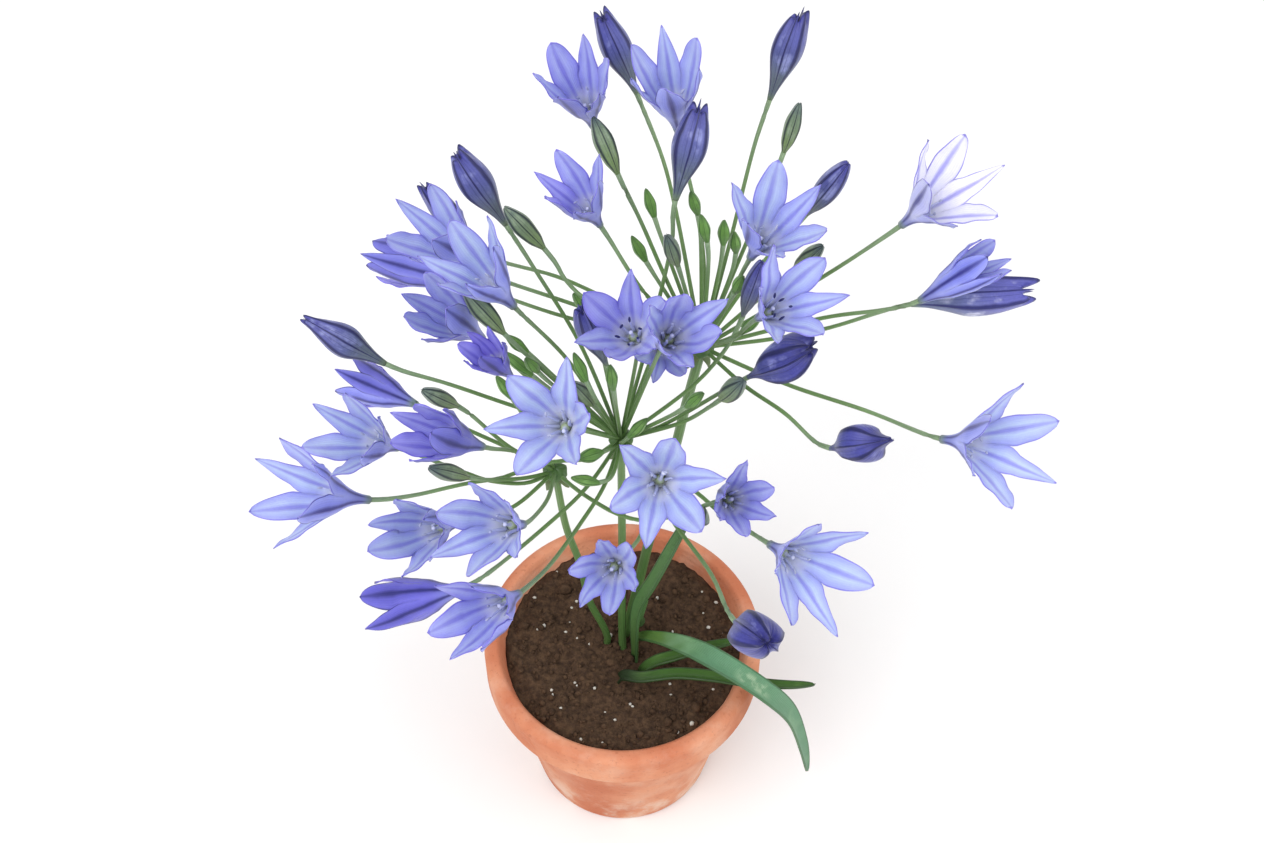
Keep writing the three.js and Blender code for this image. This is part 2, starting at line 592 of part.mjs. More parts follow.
function potSolid() {
  const neck = potHeight - potRimHeight;
  const outline = [
    [0, 0], [potFootRadius - 1.5, 0], [potFootRadius, 1.5],
    [potNeckRadius, neck], [potRimRadius - 1, neck + 1.5], [potRimRadius, neck + 3],
    [potRimRadius, potHeight - 2], [potRimRadius - 2, potHeight],
    [potRimRadius - potWall, potHeight], [potRimRadius - potWall - 1.2, potHeight - 2],
    [potNeckRadius - potWall, neck - 4],
    [potFootRadius - potWall, potFloor + 1], [potFootRadius - potWall - 2, potFloor], [0, potFloor],
  ].map(([r, z]) => new THREE.Vector2(r, z));
  let pot = toManifold(turned(outline, potSides));
  for (let i = 0; i < 3; i += 1) {
    const angle = (2 * Math.PI * i) / 3 + 0.4;
    const drain = new THREE.CylinderGeometry(drainRadius, drainRadius, 3 * potFloor, 8).rotateX(Math.PI / 2)
      .translate(drainCircle * Math.cos(angle), drainCircle * Math.sin(angle), 0);
    pot = pot.subtract(toManifold(drain));
  }
  return fromManifold(pot);
}

function soilSolid() {
  const neck = potHeight - potRimHeight;
  const wallSlope = (potRimRadius - 1.2 - potNeckRadius) / (potHeight - 2 - (neck - 4));
  const topRadius = potNeckRadius - potWall + wallSlope * (soilLevel - 1.5 - (neck - 4));
  const outline = [
    [0, potFloor + fitGap], [potFootRadius - potWall - 3, potFloor + fitGap],
    [potFootRadius - potWall - fitGap * 1.5, potFloor + 2.2],
    [potNeckRadius - potWall - fitGap * 1.5, neck - 4], [topRadius - fitGap * 2, soilLevel - 1.5],
    [topRadius * 0.72, soilLevel - 0.6], [topRadius * 0.36, soilLevel], [0, soilLevel],
  ].map(([r, z]) => new THREE.Vector2(r, z));
  let soil = toManifold(turned(outline, potSides));
  const stemGap = 0.45;
  for (const umbel of Object.values(umbels)) {
    const radius = umbel.radius + stemGap;
    const cavity = toManifold(cormSolid(umbel, 0.4));
    const hole = toManifold(stem(scapeCurve(umbel), radius, radius, scapeSides, scapeSteps));
    const throat = toManifold(new THREE.CylinderGeometry(radius, radius, 8, 7).rotateX(Math.PI / 2)
      .translate(umbel.corm[0], umbel.corm[1], cormLevel + cormHeight - 1));
    soil = soil.subtract(cavity).subtract(hole).subtract(throat);
  }
  for (const leaf of leaves) {
    const hole = new THREE.CylinderGeometry(leafHoleRadius, leafHoleRadius, 36, 7).rotateX(Math.PI / 2)
      .translate(leaf.foot[0], leaf.foot[1], soilLevel);
    soil = soil.subtract(toManifold(hole));
  }
  return fromManifold(soil);
}

const group = new THREE.Group();

function addPart(name, geometry, colour, roughness) {
  geometry.computeVertexNormals();
  const material = new THREE.MeshStandardMaterial({ color: colours[colour], roughness, metalness: 0 });
  const mesh = new THREE.Mesh(geometry, material);
  mesh.name = name;
  group.add(mesh);
}

addPart('pot', potSolid(), 'clay', 0.85);
addPart('soil', soilSolid(), 'soil', 0.95);
const numbering = {};
for (const name of Object.keys(umbels)) {
  addPart(`corm_${name}`, cormSolid(umbels[name], 0), 'corm', 0.8);
  addPart(`stalk_${name}`, stalkSolid(name), 'stalk', 0.5);
  numbering[name] = { bloom: 0, bud: 0 };
}
for (const bloom of blooms) {
  numbering[bloom.umbel].bloom += 1;
  const name = `bloom_${bloom.umbel}_${numbering[bloom.umbel].bloom}`;
  addPart(name, bloomSolid(bloom), bloom.open < 0.65 ? 'deepPetal' : 'petal', 0.55);
}
for (const row of largeBuds) {
  numbering[row.umbel].bud += 1;
  const { base, tip } = budPlace(row, largeBudLength);
  const name = `bud_${row.umbel}_${numbering[row.umbel].bud}`;
  addPart(name, bud(base, tip, row.width, largeBudProfile), 'bud', 0.5);
}
for (const leaf of leaves) {
  addPart(leaf.name, leafSolid(leaf), leaf.colour, 0.5);
}

export default group;
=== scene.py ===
import math

import bmesh
import bpy
import numpy as np
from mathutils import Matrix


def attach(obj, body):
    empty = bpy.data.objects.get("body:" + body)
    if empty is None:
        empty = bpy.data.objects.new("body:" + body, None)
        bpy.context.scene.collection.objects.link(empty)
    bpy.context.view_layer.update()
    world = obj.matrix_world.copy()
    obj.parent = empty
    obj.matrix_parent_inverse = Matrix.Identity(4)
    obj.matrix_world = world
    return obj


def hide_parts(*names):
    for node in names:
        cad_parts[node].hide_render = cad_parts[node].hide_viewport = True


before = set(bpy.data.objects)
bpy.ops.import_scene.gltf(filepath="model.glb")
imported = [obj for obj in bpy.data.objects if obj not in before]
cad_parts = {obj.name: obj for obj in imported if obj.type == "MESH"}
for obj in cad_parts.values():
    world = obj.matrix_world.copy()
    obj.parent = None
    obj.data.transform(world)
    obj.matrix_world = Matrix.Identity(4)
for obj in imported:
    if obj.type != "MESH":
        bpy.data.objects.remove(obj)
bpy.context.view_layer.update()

mm = 0.001
print("frame loaded")


# Camera, floor and light
# Pixels are those of the photograph's 1264 x 843 frame; its own view is tilt, spread and distance
photo = dict(middle=(632, 421.5), tilt=52, spread=2040, distance=0.6, hubPixel=(620, 505),
             hub=(0, 0, 0.213))
camera = dict(tilt=53.8, lens=53.4, sensor=36)  # a little wider than the photograph, so the pot is in it
studio = dict(floorSize=60, floor=(238, 238, 238), world=(255, 255, 255), worldStrength=0.84,
              key=(-0.9, -1.0, 1.9), keySize=1.5, keyPower=27, fill=(1.4, -0.6, 1.2), fillSize=1.8,
              fillPower=12)

tilt = math.radians(photo["tilt"])
forward = np.array([0, math.cos(tilt), -math.sin(tilt)])
rightward = np.array([1.0, 0, 0])
upward = np.array([0, math.sin(tilt), math.cos(tilt)])


def sightLine(pixel):
    # direction through a pixel, one long along the view: forward + right (x - mx) / f + up (my - y) / f
    x, y = pixel[0] - photo["middle"][0], photo["middle"][1] - pixel[1]
    return forward + rightward * (x / photo["spread"]) + upward * (y / photo["spread"])


viewer = np.array(photo["hub"]) - sightLine(photo["hubPixel"]) * photo["distance"]


def seen(pixel, near):
    # the point on a pixel's sight line that is near millimetres closer than the middle hub
    return viewer + sightLine(pixel) * (photo["distance"] - near * mm)


def seenAtHeight(pixel, height):
    # the point on a pixel's sight line at a height above the floor, in millimetres
    line = sightLine(pixel)
    return viewer + line * (height * mm - viewer[2]) / line[2]


def unit(vector):
    # the same direction, one long
    return vector / np.linalg.norm(vector, axis=-1, keepdims=True)


def reach(start, pixel, length, away=False):
    # the point on a pixel's sight line at a given length from start, on the near side unless away
    line = unit(sightLine(pixel))
    along = float((start - viewer) @ line)
    miss = float((start - viewer) @ (start - viewer)) - along * along
    depth = math.sqrt(max(length * length - miss, 0))
    return viewer + line * (along + (depth if away else -depth))


def tint(red, green, blue):
    # a colour given as it looks on screen, 0 to 255, made linear for the shaders
    screen = np.array([red, green, blue]) / 255
    linear = np.where(screen <= 0.04045, screen / 12.92, ((screen + 0.055) / 1.055) ** 2.4)
    return (*linear.tolist(), 1.0)


def newObject(name, data):
    thing = bpy.data.objects.new(name, data)
    bpy.context.scene.collection.objects.link(thing)
    return thing


cameraData = bpy.data.cameras.new("plantCamera")
cameraData.lens, cameraData.sensor_width = camera["lens"], camera["sensor"]
cameraObject = newObject("plantCamera", cameraData)
cameraObject.location = viewer
cameraObject.rotation_euler = (math.radians(90 - camera["tilt"]), 0, 0)
bpy.context.scene.camera = cameraObject
bpy.context.scene.view_settings.view_transform = "Standard"


def softLight(name, place, size, power):
    # a disc of light that faces the middle hub, tipped and turned as the line to the hub is
    data = bpy.data.lights.new(name, "AREA")
    data.shape, data.size, data.energy = "DISK", size, power
    light = newObject(name, data)
    light.location = place
    x, y, z = np.array(photo["hub"]) - np.array(place)
    light.rotation_euler = (math.atan2(math.hypot(x, y), -z), 0, math.atan2(x, -y) + math.pi)


softLight("keyLight", studio["key"], studio["keySize"], studio["keyPower"])
softLight("fillLight", studio["fill"], studio["fillSize"], studio["fillPower"])
world = bpy.data.worlds.new("paleRoom")
bpy.context.scene.world = world
world.use_nodes = True
sky = world.node_tree.nodes["Background"].inputs
sky["Color"].default_value = tint(*studio["world"])
sky["Strength"].default_value = studio["worldStrength"]
print("camera and light set")


# Shader helpers
glowDepth = 0.0006  # how far light travels under the skin of a petal, bud, stem or leaf, in metres


def feed(tree, value, target):
    # links a socket to the target, or writes a plain value into it
    if isinstance(value, bpy.types.NodeSocket):
        tree.links.new(value, target)
    else:
        target.default_value = value


def addMath(tree, operation, first, second=0.0):
    node = tree.nodes.new("ShaderNodeMath")
    node.operation = operation
    feed(tree, first, node.inputs[0])
    feed(tree, second, node.inputs[1])
    return node.outputs[0]


def times(tree, first, second):
    return addMath(tree, "MULTIPLY", first, second)


def plus(tree, first, second):
    return addMath(tree, "ADD", first, second)


def addRamp(tree, value, low, high, start=0.0, end=1.0):
    # a soft step of value from start below low to end above high
    node = tree.nodes.new("ShaderNodeMapRange")
    node.interpolation_type = "SMOOTHSTEP"
    feed(tree, value, node.inputs["Value"])
    for label, number in zip(("From Min", "From Max", "To Min", "To Max"), (low, high, start, end)):
        feed(tree, number, node.inputs[label])
    return node.outputs[0]


def addMix(tree, share, first, second):
    # the first colour where share is 0, the second where it is 1
    node = tree.nodes.new("ShaderNodeMix")
    node.data_type = "RGBA"
    feed(tree, share, node.inputs[0])
    feed(tree, first, node.inputs[6])
    feed(tree, second, node.inputs[7])
    return node.outputs[2]


def addNoise(tree, place, scale, detail=3.0, roughness=0.55):
    node = tree.nodes.new("ShaderNodeTexNoise")
    tree.links.new(place, node.inputs["Vector"])
    for label, number in zip(("Scale", "Detail", "Roughness"), (scale, detail, roughness)):
        node.inputs[label].default_value = number
    return node.outputs["Fac"]


def objectPlace(tree):
    return tree.nodes.new("ShaderNodeTexCoord").outputs["Object"]


def partsOf(tree, vector):
    # the x, y and z of a vector
    node = tree.nodes.new("ShaderNodeSeparateXYZ")
    tree.links.new(vector, node.inputs[0])
    return node.outputs


def pieceUv(tree):
    # across and along the piece, each from 0 to 1
    node = tree.nodes.new("ShaderNodeUVMap")
    node.uv_map = "formUv"
    return partsOf(tree, node.outputs["UV"])[:2]


def offMiddle(tree, across):
    # 0 down the middle of a piece and 1 at its two edges: 2 |across - 0.5|
    return times(tree, addMath(tree, "ABSOLUTE", addMath(tree, "SUBTRACT", across, 0.5)), 2)


def pieceTone(tree):
    # the number from 0 to 1 that each point of a piece carries
    node = tree.nodes.new("ShaderNodeAttribute")
    node.attribute_name = "tone"
    return node.outputs["Fac"]


def newGroup(name, inputs, outputs):
    # an effect that several materials use: named inputs and outputs of kind Float or Color
    tree = bpy.data.node_groups.new(name, "ShaderNodeTree")
    for label, kind, value in inputs:
        socket = tree.interface.new_socket(label, in_out="INPUT", socket_type="NodeSocket" + kind)
        socket.default_value = value
    for label, kind in outputs:
        tree.interface.new_socket(label, in_out="OUTPUT", socket_type="NodeSocket" + kind)
    return tree, tree.nodes.new("NodeGroupInput").outputs, tree.nodes.new("NodeGroupOutput").inputs


def useGroup(tree, group, **values):
    node = tree.nodes.new("ShaderNodeGroup")
    node.node_tree = group
    for label, value in values.items():
        feed(tree, value, node.inputs[label])
    return node.outputs


def newMaterial(name, roughness, specular, sheen=0.0, glow=0.0, glowRadius=(1.0, 1.0, 1.0)):
    # glow is the share of light that goes under the skin, glowRadius how far its red, green and blue go
    material = bpy.data.materials.new(name)
    material.use_nodes = True
    shader = material.node_tree.nodes["Principled BSDF"]
    settings = {"Roughness": roughness, "Specular IOR Level": specular, "Sheen Weight": sheen,
                "Subsurface Weight": glow, "Subsurface Radius": glowRadius, "Subsurface Scale": glowDepth}
    for label, value in settings.items():
        shader.inputs[label].default_value = value
    return material, material.node_tree, shader


def coat(tree, shader, colour, relief, depth, strength):
    # gives the shader its finished colour, and relief as bumps of a depth in metres
    bump = tree.nodes.new("ShaderNodeBump")
    bump.inputs["Distance"].default_value, bump.inputs["Strength"].default_value = depth, strength
    tree.links.new(relief, bump.inputs["Height"])
    tree.links.new(bump.outputs["Normal"], shader.inputs["Normal"])
    tree.links.new(colour, shader.inputs["Base Color"])


# Shared effects
mottleForm = dict(patchScale=90, patchDetail=3, grainScale=900, grainDetail=2)
veinForm = dict(driftScale=5, driftDetail=2, drift=0.05)


def buildMottle():
    # living tissue: brightness 1 + patches (soft noise - 0.5) + grain (fine noise - 0.5)
    inputs = [("Colour", "Color", (0.5, 0.5, 0.5, 1)), ("Patches", "Float", 0.3), ("Grain", "Float", 0.15),
              ("Size", "Float", 1.0)]
    tree, given, made = newGroup("mottle", inputs, [("Colour", "Color"), ("Height", "Float")])
    place = tree.nodes.new("ShaderNodeVectorMath")
    place.operation = "SCALE"
    tree.links.new(objectPlace(tree), place.inputs[0])
    tree.links.new(given["Size"], place.inputs["Scale"])
    patches = addNoise(tree, place.outputs[0], mottleForm["patchScale"], mottleForm["patchDetail"])
    grain = addNoise(tree, place.outputs[0], mottleForm["grainScale"], mottleForm["grainDetail"])
    shift = times(tree, addMath(tree, "SUBTRACT", patches, 0.5), given["Patches"])
    fine = times(tree, addMath(tree, "SUBTRACT", grain, 0.5), given["Grain"])
    bright = tree.nodes.new("ShaderNodeHueSaturation")
    tree.links.new(given["Colour"], bright.inputs["Color"])
    tree.links.new(plus(tree, plus(tree, shift, fine), 1.0), bright.inputs["Value"])
    tree.links.new(bright.outputs[0], made["Colour"])
    tree.links.new(grain, made["Height"])
    return tree


def buildVeins():
    # fine lines that run along a piece: 0.5 + 0.5 sin(2 pi lines (across + drift noise))
    inputs = [("Across", "Float", 0.5), ("Along", "Float", 0.5), ("Lines", "Float", 12.0)]
    tree, given, made = newGroup("veins", inputs, [("Line", "Float")])
    spot = tree.nodes.new("ShaderNodeCombineXYZ")
    tree.links.new(given["Across"], spot.inputs[0])
    tree.links.new(given["Along"], spot.inputs[1])
    noise = addNoise(tree, spot.outputs[0], veinForm["driftScale"], veinForm["driftDetail"])
    phase = times(tree, plus(tree, given["Across"], times(tree, noise, veinForm["drift"])), given["Lines"])
    wave = addMath(tree, "SINE", times(tree, phase, 2 * math.pi))
    tree.links.new(plus(tree, times(tree, wave, 0.5), 0.5), made["Line"])
    return tree


mottle = buildMottle()
veins = buildVeins()


# Mesh helpers
curveSteps = 32  # points on each stretch of a curve before it is cut evenly
weldGap = 2e-6  # metres


def lerp(first, second, share):
    # from first to second as share goes from 0 to 1
    return first + (second - first) * share


def softStep(value, low, high):
    # s s (3 - 2 s), s going from 0 at low to 1 at high
    share = np.clip((value - low) / (high - low), 0, 1)
    return share * share * (3 - 2 * share)


def smoothLine(knots, count):
    # centripetal Catmull-Rom curve through the knots, cut at count evenly spaced points
    knots = np.asarray(knots, float)
    p = np.vstack([2 * knots[0] - knots[1], knots, 2 * knots[-1] - knots[-2]])
    gap = np.maximum(np.linalg.norm(np.diff(p, axis=0), axis=1), 1e-9)[:, None] ** 0.5
    before, here, after = gap[:-2], gap[1:-1], gap[2:]
    a, b, c, d = p[:-3], p[1:-2], p[2:-1], p[3:]
    leave = ((b - a) / before - (c - a) / (before + here) + (c - b) / here) * here
    arrive = ((c - b) / here - (d - b) / (here + after) + (d - c) / after) * here
    t = np.linspace(0, 1, curveSteps, endpoint=False)[None, :, None]
    b, c, leave, arrive = (x[:, None] for x in (b, c, leave, arrive))
    line = (b * (2 * t ** 3 - 3 * t ** 2 + 1) + leave * (t ** 3 - 2 * t ** 2 + t)
            + c * (3 * t ** 2 - 2 * t ** 3) + arrive * (t ** 3 - t ** 2))
    line = np.vstack([line.reshape(-1, knots.shape[1]), knots[-1]])
    run = np.r_[0, np.cumsum(np.linalg.norm(np.diff(line, axis=0), axis=1))]
    at = np.linspace(0, run[-1], count)
    return np.stack([np.interp(at, run, line[:, k]) for k in range(knots.shape[1])], axis=1)


def surface(grid, along=None, closed=False, tone=0.5, material=0):
    # grid[row, column] is a point and neighbours make quads; a closed grid joins its last column to its
    # first and shuts each end row with a fan round its middle. along is each row's place in the UV map
    rows, columns = grid.shape[:2]
    span = columns if closed else columns - 1
    across = np.linspace(0, 1, span + 1)
    along = np.linspace(0, 1, rows) if along is None else along
    row, column = (x.ravel() for x in np.meshgrid(np.arange(rows - 1), np.arange(span), indexing="ij"))
    after = (column + 1) % columns
    quads = np.stack([row * columns + column, row * columns + after, (row + 1) * columns + after,
                      (row + 1) * columns + column], 1)
    left, right, low, high = across[column], across[column + 1], along[row], along[row + 1]
    quadUv = np.stack([left, low, right, low, right, high, left, high], 1).reshape(-1, 4, 2)
    points, fans, fanUv = [grid.reshape(-1, 3)], [np.zeros((0, 3), int)], [np.zeros((0, 3, 2))]
    if closed:
        left, right, place = across[:-1], across[1:], np.arange(span)
        for end, turn in ((0, -1), (-1, 1)):  # the first row's fan turns the other way
            middle = np.full(span, sum(len(p) for p in points))
            points.append(grid[end].mean(axis=0)[None])
            ring = (rows + end) % rows * columns + np.stack([place, (place + 1) % columns])[::turn]
            side, level = np.stack([left, right])[::turn], np.full(span, along[end])
            uv = [(left + right) / 2, level, side[0], level, side[1], level]
            fans.append(np.stack([middle, *ring], 1))
            fanUv.append(np.stack(uv, 1).reshape(-1, 3, 2))
    points = np.concatenate(points)
    return dict(points=points, quads=quads, quadUv=quadUv, material=material, fans=np.concatenate(fans),
                fanUv=np.concatenate(fanUv), tone=np.broadcast_to(np.asarray(tone, float), (len(points),)))


def makePiece(name, parts, materials, slot, replaced=(), weld=False, wall=0.0, turnedWall=0):
    # joins the parts into one mesh at the origin, in metres, and makes it ride on the plant; a wall gives
    # an open sheet its thickness, and turnedWall is how many materials further its back and rim are
    offsets = np.cumsum([0] + [len(p["points"]) for p in parts])
    faces, uvs, slots = [], [], []
    for part, offset in zip(parts, offsets):
        faces += (part["quads"] + offset).tolist() + (part["fans"] + offset).tolist()
        uvs += [part["quadUv"].reshape(-1, 2), part["fanUv"].reshape(-1, 2)]
        slots += [part["material"]] * (len(part["quads"]) + len(part["fans"]))
    mesh = bpy.data.meshes.new(name)
    mesh.from_pydata(np.concatenate([p["points"] for p in parts]), [], faces)
    mesh.uv_layers.new(name="formUv").data.foreach_set("uv", np.concatenate(uvs).astype(np.float32).ravel())
    tone = mesh.attributes.new("tone", "FLOAT", "POINT")
    tone.data.foreach_set("value", np.concatenate([p["tone"] for p in parts]).astype(np.float32))
    for material in materials:
        mesh.materials.append(material)
    mesh.polygons.foreach_set("material_index", slots)
    if weld:
        work = bmesh.new()
        work.from_mesh(mesh)
        bmesh.ops.remove_doubles(work, verts=work.verts, dist=weldGap)
        work.to_mesh(mesh)
        work.free()
    mesh.polygons.foreach_set("use_smooth", np.ones(len(mesh.polygons), bool))
    mesh.update()
    piece = newObject(name, mesh)
    if wall:
        solid = piece.modifiers.new("wall", "SOLIDIFY")
        solid.thickness, solid.offset = wall, 0
        solid.material_offset, solid.material_offset_rim = turnedWall, turnedWall
    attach(piece, "root")
    if replaced:
        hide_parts(*replaced)
    return piece


def tube(line, radius, sides, tone=0.5, material=0, ridge=0.0, ridges=5):
    # a round stem: line + r (cos a side + sin a other), side being square to the plane the line bends in;
    # ridges raise r by ridge cos(ridges a)
    heading = unit(np.gradient(line, axis=0))
    flat = np.linalg.svd(heading - heading.mean(axis=0))[2][-1]
    side = unit(flat - heading * (heading @ flat)[:, None])
    other = np.cross(heading, side)
    angle = np.linspace(0, 2 * math.pi, sides, endpoint=False)
    raised = 1 + ridge * np.cos(ridges * angle)
    r = np.broadcast_to(radius, (len(line),))[:, None, None] * raised[None, :, None]
    grid = line[:, None] + r * (np.cos(angle)[None, :, None] * side[:, None]
                                + np.sin(angle)[None, :, None] * other[:, None])
    return surface(grid, closed=True, tone=tone, material=material)


# Where everything grows
# near and bow are millimetres closer than the middle hub; base, centre, tip and via are pixels; tone goes
# from 0, pale blue, to 1, deep violet
umbels = dict(
    middle=dict(hub=(620, 505), near=0, radius=1.5, via=[(621, 600)], foot=(0, 0), corm=(1, -3)),
    left=dict(hub=(548, 540), near=-2, radius=1.4, via=[(560, 600), (575, 640), (585, 680)], foot=(-5.9, 1.8),
              corm=(-15, 2)),
    right=dict(hub=(708, 405), near=6, radius=1.9, via=[(690, 470), (680, 510), (652, 610), (632, 690)],
               foot=(1, 5.6), corm=(-1, 15)),
)
blooms = [
    dict(umbel="right", base=(590, 165), centre=(567, 99), tip=(532, 108), near=8, open=0.36, tone=0.4,
         via=[(617, 218), (640, 265), (678, 350)]),
    dict(umbel="right", base=(597, 272), centre=(561, 221), tip=(533, 215), near=34, open=0.4, tone=0.55,
         size=0.85, via=[(613, 300), (645, 345)], bow=6),
    dict(umbel="right", base=(465, 320), centre=(402, 265), tip=(376, 243), near=-2, open=0.42, tone=0.3,
         via=[(484, 327), (550, 352)]),
    dict(umbel="right", base=(450, 335), centre=(352, 305), tip=(334, 303), near=-30, open=0.15, tone=0.7,
         slot="deep_petal", away=True, via=[(560, 372)]),
    dict(umbel="middle", base=(503, 360), centre=(444, 300), tip=(398, 302), near=36, open=0.4, tone=0.15,
         via=[(545, 400), (563, 420)]),
    dict(umbel="middle", base=(469, 395), centre=(408, 354), tip=(395, 348), near=10, open=0.2, tone=0.4,
         slot="deep_petal", via=[(540, 455)]),
    dict(umbel="right", base=(682, 170), centre=(668, 90), tip=(642, 82), near=22, open=0.36, tone=0.3,
         wide=True, via=[(713, 195), (709, 300)]),
    dict(umbel="right", base=(761, 307), centre=(797, 250), tip=(748, 222), near=46, open=0.55, tone=0.15,
         via=[(748, 330), (735, 355)]),
    dict(umbel="right", base=(769, 373), centre=(819, 347), tip=(791, 301), near=58, open=0.55, tone=0.3,
         size=0.92, dark=True, via=[(745, 392)]),
    dict(umbel="right", base=(925, 272), centre=(994, 219), tip=(1035, 210), near=22, open=0.6, tone=-0.5,
         via=[(900, 290), (845, 325)]),
    dict(umbel="right", base=(945, 354), centre=(1030, 306), tip=(1045, 304), near=14, open=0.1, tone=0.35,
         slot="deep_petal", size=0.85, via=[(900, 365), (845, 372)]),
    dict(umbel="middle", base=(638, 399), centre=(616, 374), tip=(624, 322), near=34, open=0.5, tone=0.5,
         dark=True, via=[]),
    dict(umbel="middle", base=(667, 401), centre=(693, 380), tip=(689, 343), near=66, open=0.36, tone=0.4,
         size=0.95, wide=True, via=[]),
    dict(umbel="middle", base=(662, 400), centre=(672, 414), tip=(664, 432), near=14, open=0.4, tone=0.35,
         size=0.7, via=[]),
    dict(umbel="middle", base=(661, 549), centre=(665, 560), tip=(681, 507), near=58, open=0.7, tone=0.12,
         wide=True, style=4, styleLean=3.5, via=[]),
    dict(umbel="middle", base=(733, 571), centre=(757, 573), tip=(757, 532), near=43, open=0.36, tone=0.45,
         size=0.85, slim=0.84, stem="left",
         via=[(703, 579), (672, 590), (640, 593), (615, 586), (593, 574), (572, 560)]),
    dict(umbel="middle", base=(783, 620), centre=(848, 659), tip=(902, 667), near=42, open=0.8, tone=0.15,
         wide=True, via=[(758, 602), (728, 585), (705, 565)]),
    dict(umbel="middle", base=(616, 641), centre=(601, 656), tip=(574, 679), near=48, open=0.4, tone=0.35,
         size=0.9, slim=0.8, via=[(643, 605)]),
    dict(umbel="left", base=(397, 467), centre=(325, 438), tip=(318, 435), near=10, open=0.2, tone=0.7,
         slot="deep_petal", size=0.85, away=True, via=[(437, 487), (503, 517)]),
    dict(umbel="left", base=(376, 514), centre=(311, 499), tip=(293, 480), near=22, open=0.46, tone=0.1,
         size=0.95, via=[(410, 527), (433, 535), (455, 543), (472, 549), (500, 553), (520, 552)]),
    dict(umbel="left", base=(469, 513), centre=(392, 492), tip=(378, 482), near=40, open=0.2, tone=0.66,
         slot="deep_petal", size=0.95, via=[(503, 518)]),
    dict(umbel="left", base=(345, 571), centre=(243, 560), tip=(220, 532), near=18, open=0.7, tone=0.2,
         stem="middle",
         via=[(400, 565), (430, 558), (458, 552), (490, 547), (515, 538), (550, 529), (585, 526)]),
    dict(umbel="left", base=(437, 598), centre=(376, 612), tip=(349, 597), near=34, open=0.35, tone=0.25,
         via=[(500, 580)]),
    dict(umbel="left", base=(513, 598), centre=(455, 603), tip=(456, 560), near=50, open=0.5, tone=0.25,
         via=[(525, 590), (540, 570)]),
    dict(umbel="middle", base=(447, 668), centre=(356, 690), tip=(350, 665), near=38, open=0.15, tone=0.9,
         slot="deep_petal", away=True, via=[(464, 660), (540, 598), (582, 558)]),
    dict(umbel="middle", base=(508, 674), centre=(447, 708), tip=(434, 761), near=52, open=0.45, tone=0.5,
         via=[(540, 645), (575, 598), (602, 555)]),
    dict(umbel="left", base=(500, 436), centre=(462, 400), tip=(455, 410), near=34, open=0.15, tone=0.95,
         slot="deep_petal", size=0.7, via=[]),
    dict(umbel="middle", base=(565, 492), centre=(530, 483), tip=(498, 437), near=58, open=0.7, tone=0.1,
         wide=True, styleLean=-2.5, via=[]),
    dict(umbel="right", base=(970, 505), centre=(1057, 515), tip=(1062, 447), near=30, open=0.85, tone=0.2,
         via=[(890, 475), (800, 445)]),
]
largeBuds = [
    dict(umbel="right", base=(637, 130), tip=(600, 47), near=6, width=11, via=[(665, 200), (677, 245)]),
    dict(umbel="middle", base=(495, 272), tip=(442, 196), near=18, width=11.5,
         via=[(525, 318), (575, 400)]),
    dict(umbel="right", base=(462, 298), tip=(408, 231), near=-22, width=9.5, via=[(550, 328), (590, 345)]),
    dict(umbel="middle", base=(364, 423), tip=(276, 374), near=8, width=11.5, shape="diamond",
         via=[(430, 444), (507, 470)]),
    dict(umbel="middle", base=(604, 424), tip=(577, 363), near=30, width=9.5, via=[(617, 432)]),
    dict(umbel="middle", base=(679, 245), tip=(705, 146), near=36, width=12, via=[(676, 285), (660, 358)],
         bow=-9),
    dict(umbel="right", base=(781, 137), tip=(813, 47), near=10, width=11, via=[(765, 185), (736, 300)]),
    dict(umbel="right", base=(820, 262), tip=(866, 206), near=24, width=8.5, shape="oval",
         via=[(775, 312)]),
    dict(umbel="middle", base=(752, 372), tip=(773, 312), near=28, width=7, shape="oval",
         via=[(735, 405), (700, 445)], bow=-6),
    dict(umbel="right", base=(935, 358), tip=(1067, 343), near=-2, width=13.8, shape="bursting",
         via=[(845, 384), (790, 395)]),
    dict(umbel="middle", base=(757, 438), tip=(832, 403), near=36, width=13, shape="plump",
         via=[(725, 456), (660, 492)]),
    dict(umbel="right", base=(847, 515), tip=(914, 505), near=34, width=13, shape="beaked",
         via=[(800, 478), (755, 447)]),
    dict(umbel="middle", base=(744, 704), tip=(783, 730), near=42, width=14, shape="plump",
         via=[(720, 655), (677, 595)]),
]
mediumBuds = [
    dict(umbel="right", base=(617, 218), tip=(591, 158), near=26, width=7.2, via=[(640, 265), (678, 350)]),
    dict(umbel="right", base=(537, 298), tip=(495, 255), near=22, width=7.2,
         via=[(560, 332), (585, 355), (650, 380)], bow=12),
    dict(umbel="middle", base=(493, 390), tip=(451, 345), near=34, width=7.6, via=[]),
    dict(umbel="right", base=(796, 195), tip=(813, 143), near=14, width=6, via=[]),
    dict(umbel="right", base=(808, 320), tip=(838, 296), near=20, width=6, via=[]),
    dict(umbel="middle", base=(728, 462), tip=(752, 442), near=30, width=7, via=[(690, 485)]),
    dict(umbel="middle", base=(703, 580), tip=(709, 597), near=28, width=6, via=[]),
    dict(umbel="left", base=(443, 469), tip=(405, 452), near=20, width=6.2, via=[(498, 513)]),
    dict(umbel="left", base=(455, 547), tip=(413, 536), near=22, width=6.2, via=[(490, 549), (517, 547)]),
    dict(umbel="right", base=(682, 317), tip=(670, 285), near=30, width=5.6, via=[]),
    dict(umbel="middle", base=(590, 468), tip=(568, 445), near=18, width=6.4, via=[]),
]
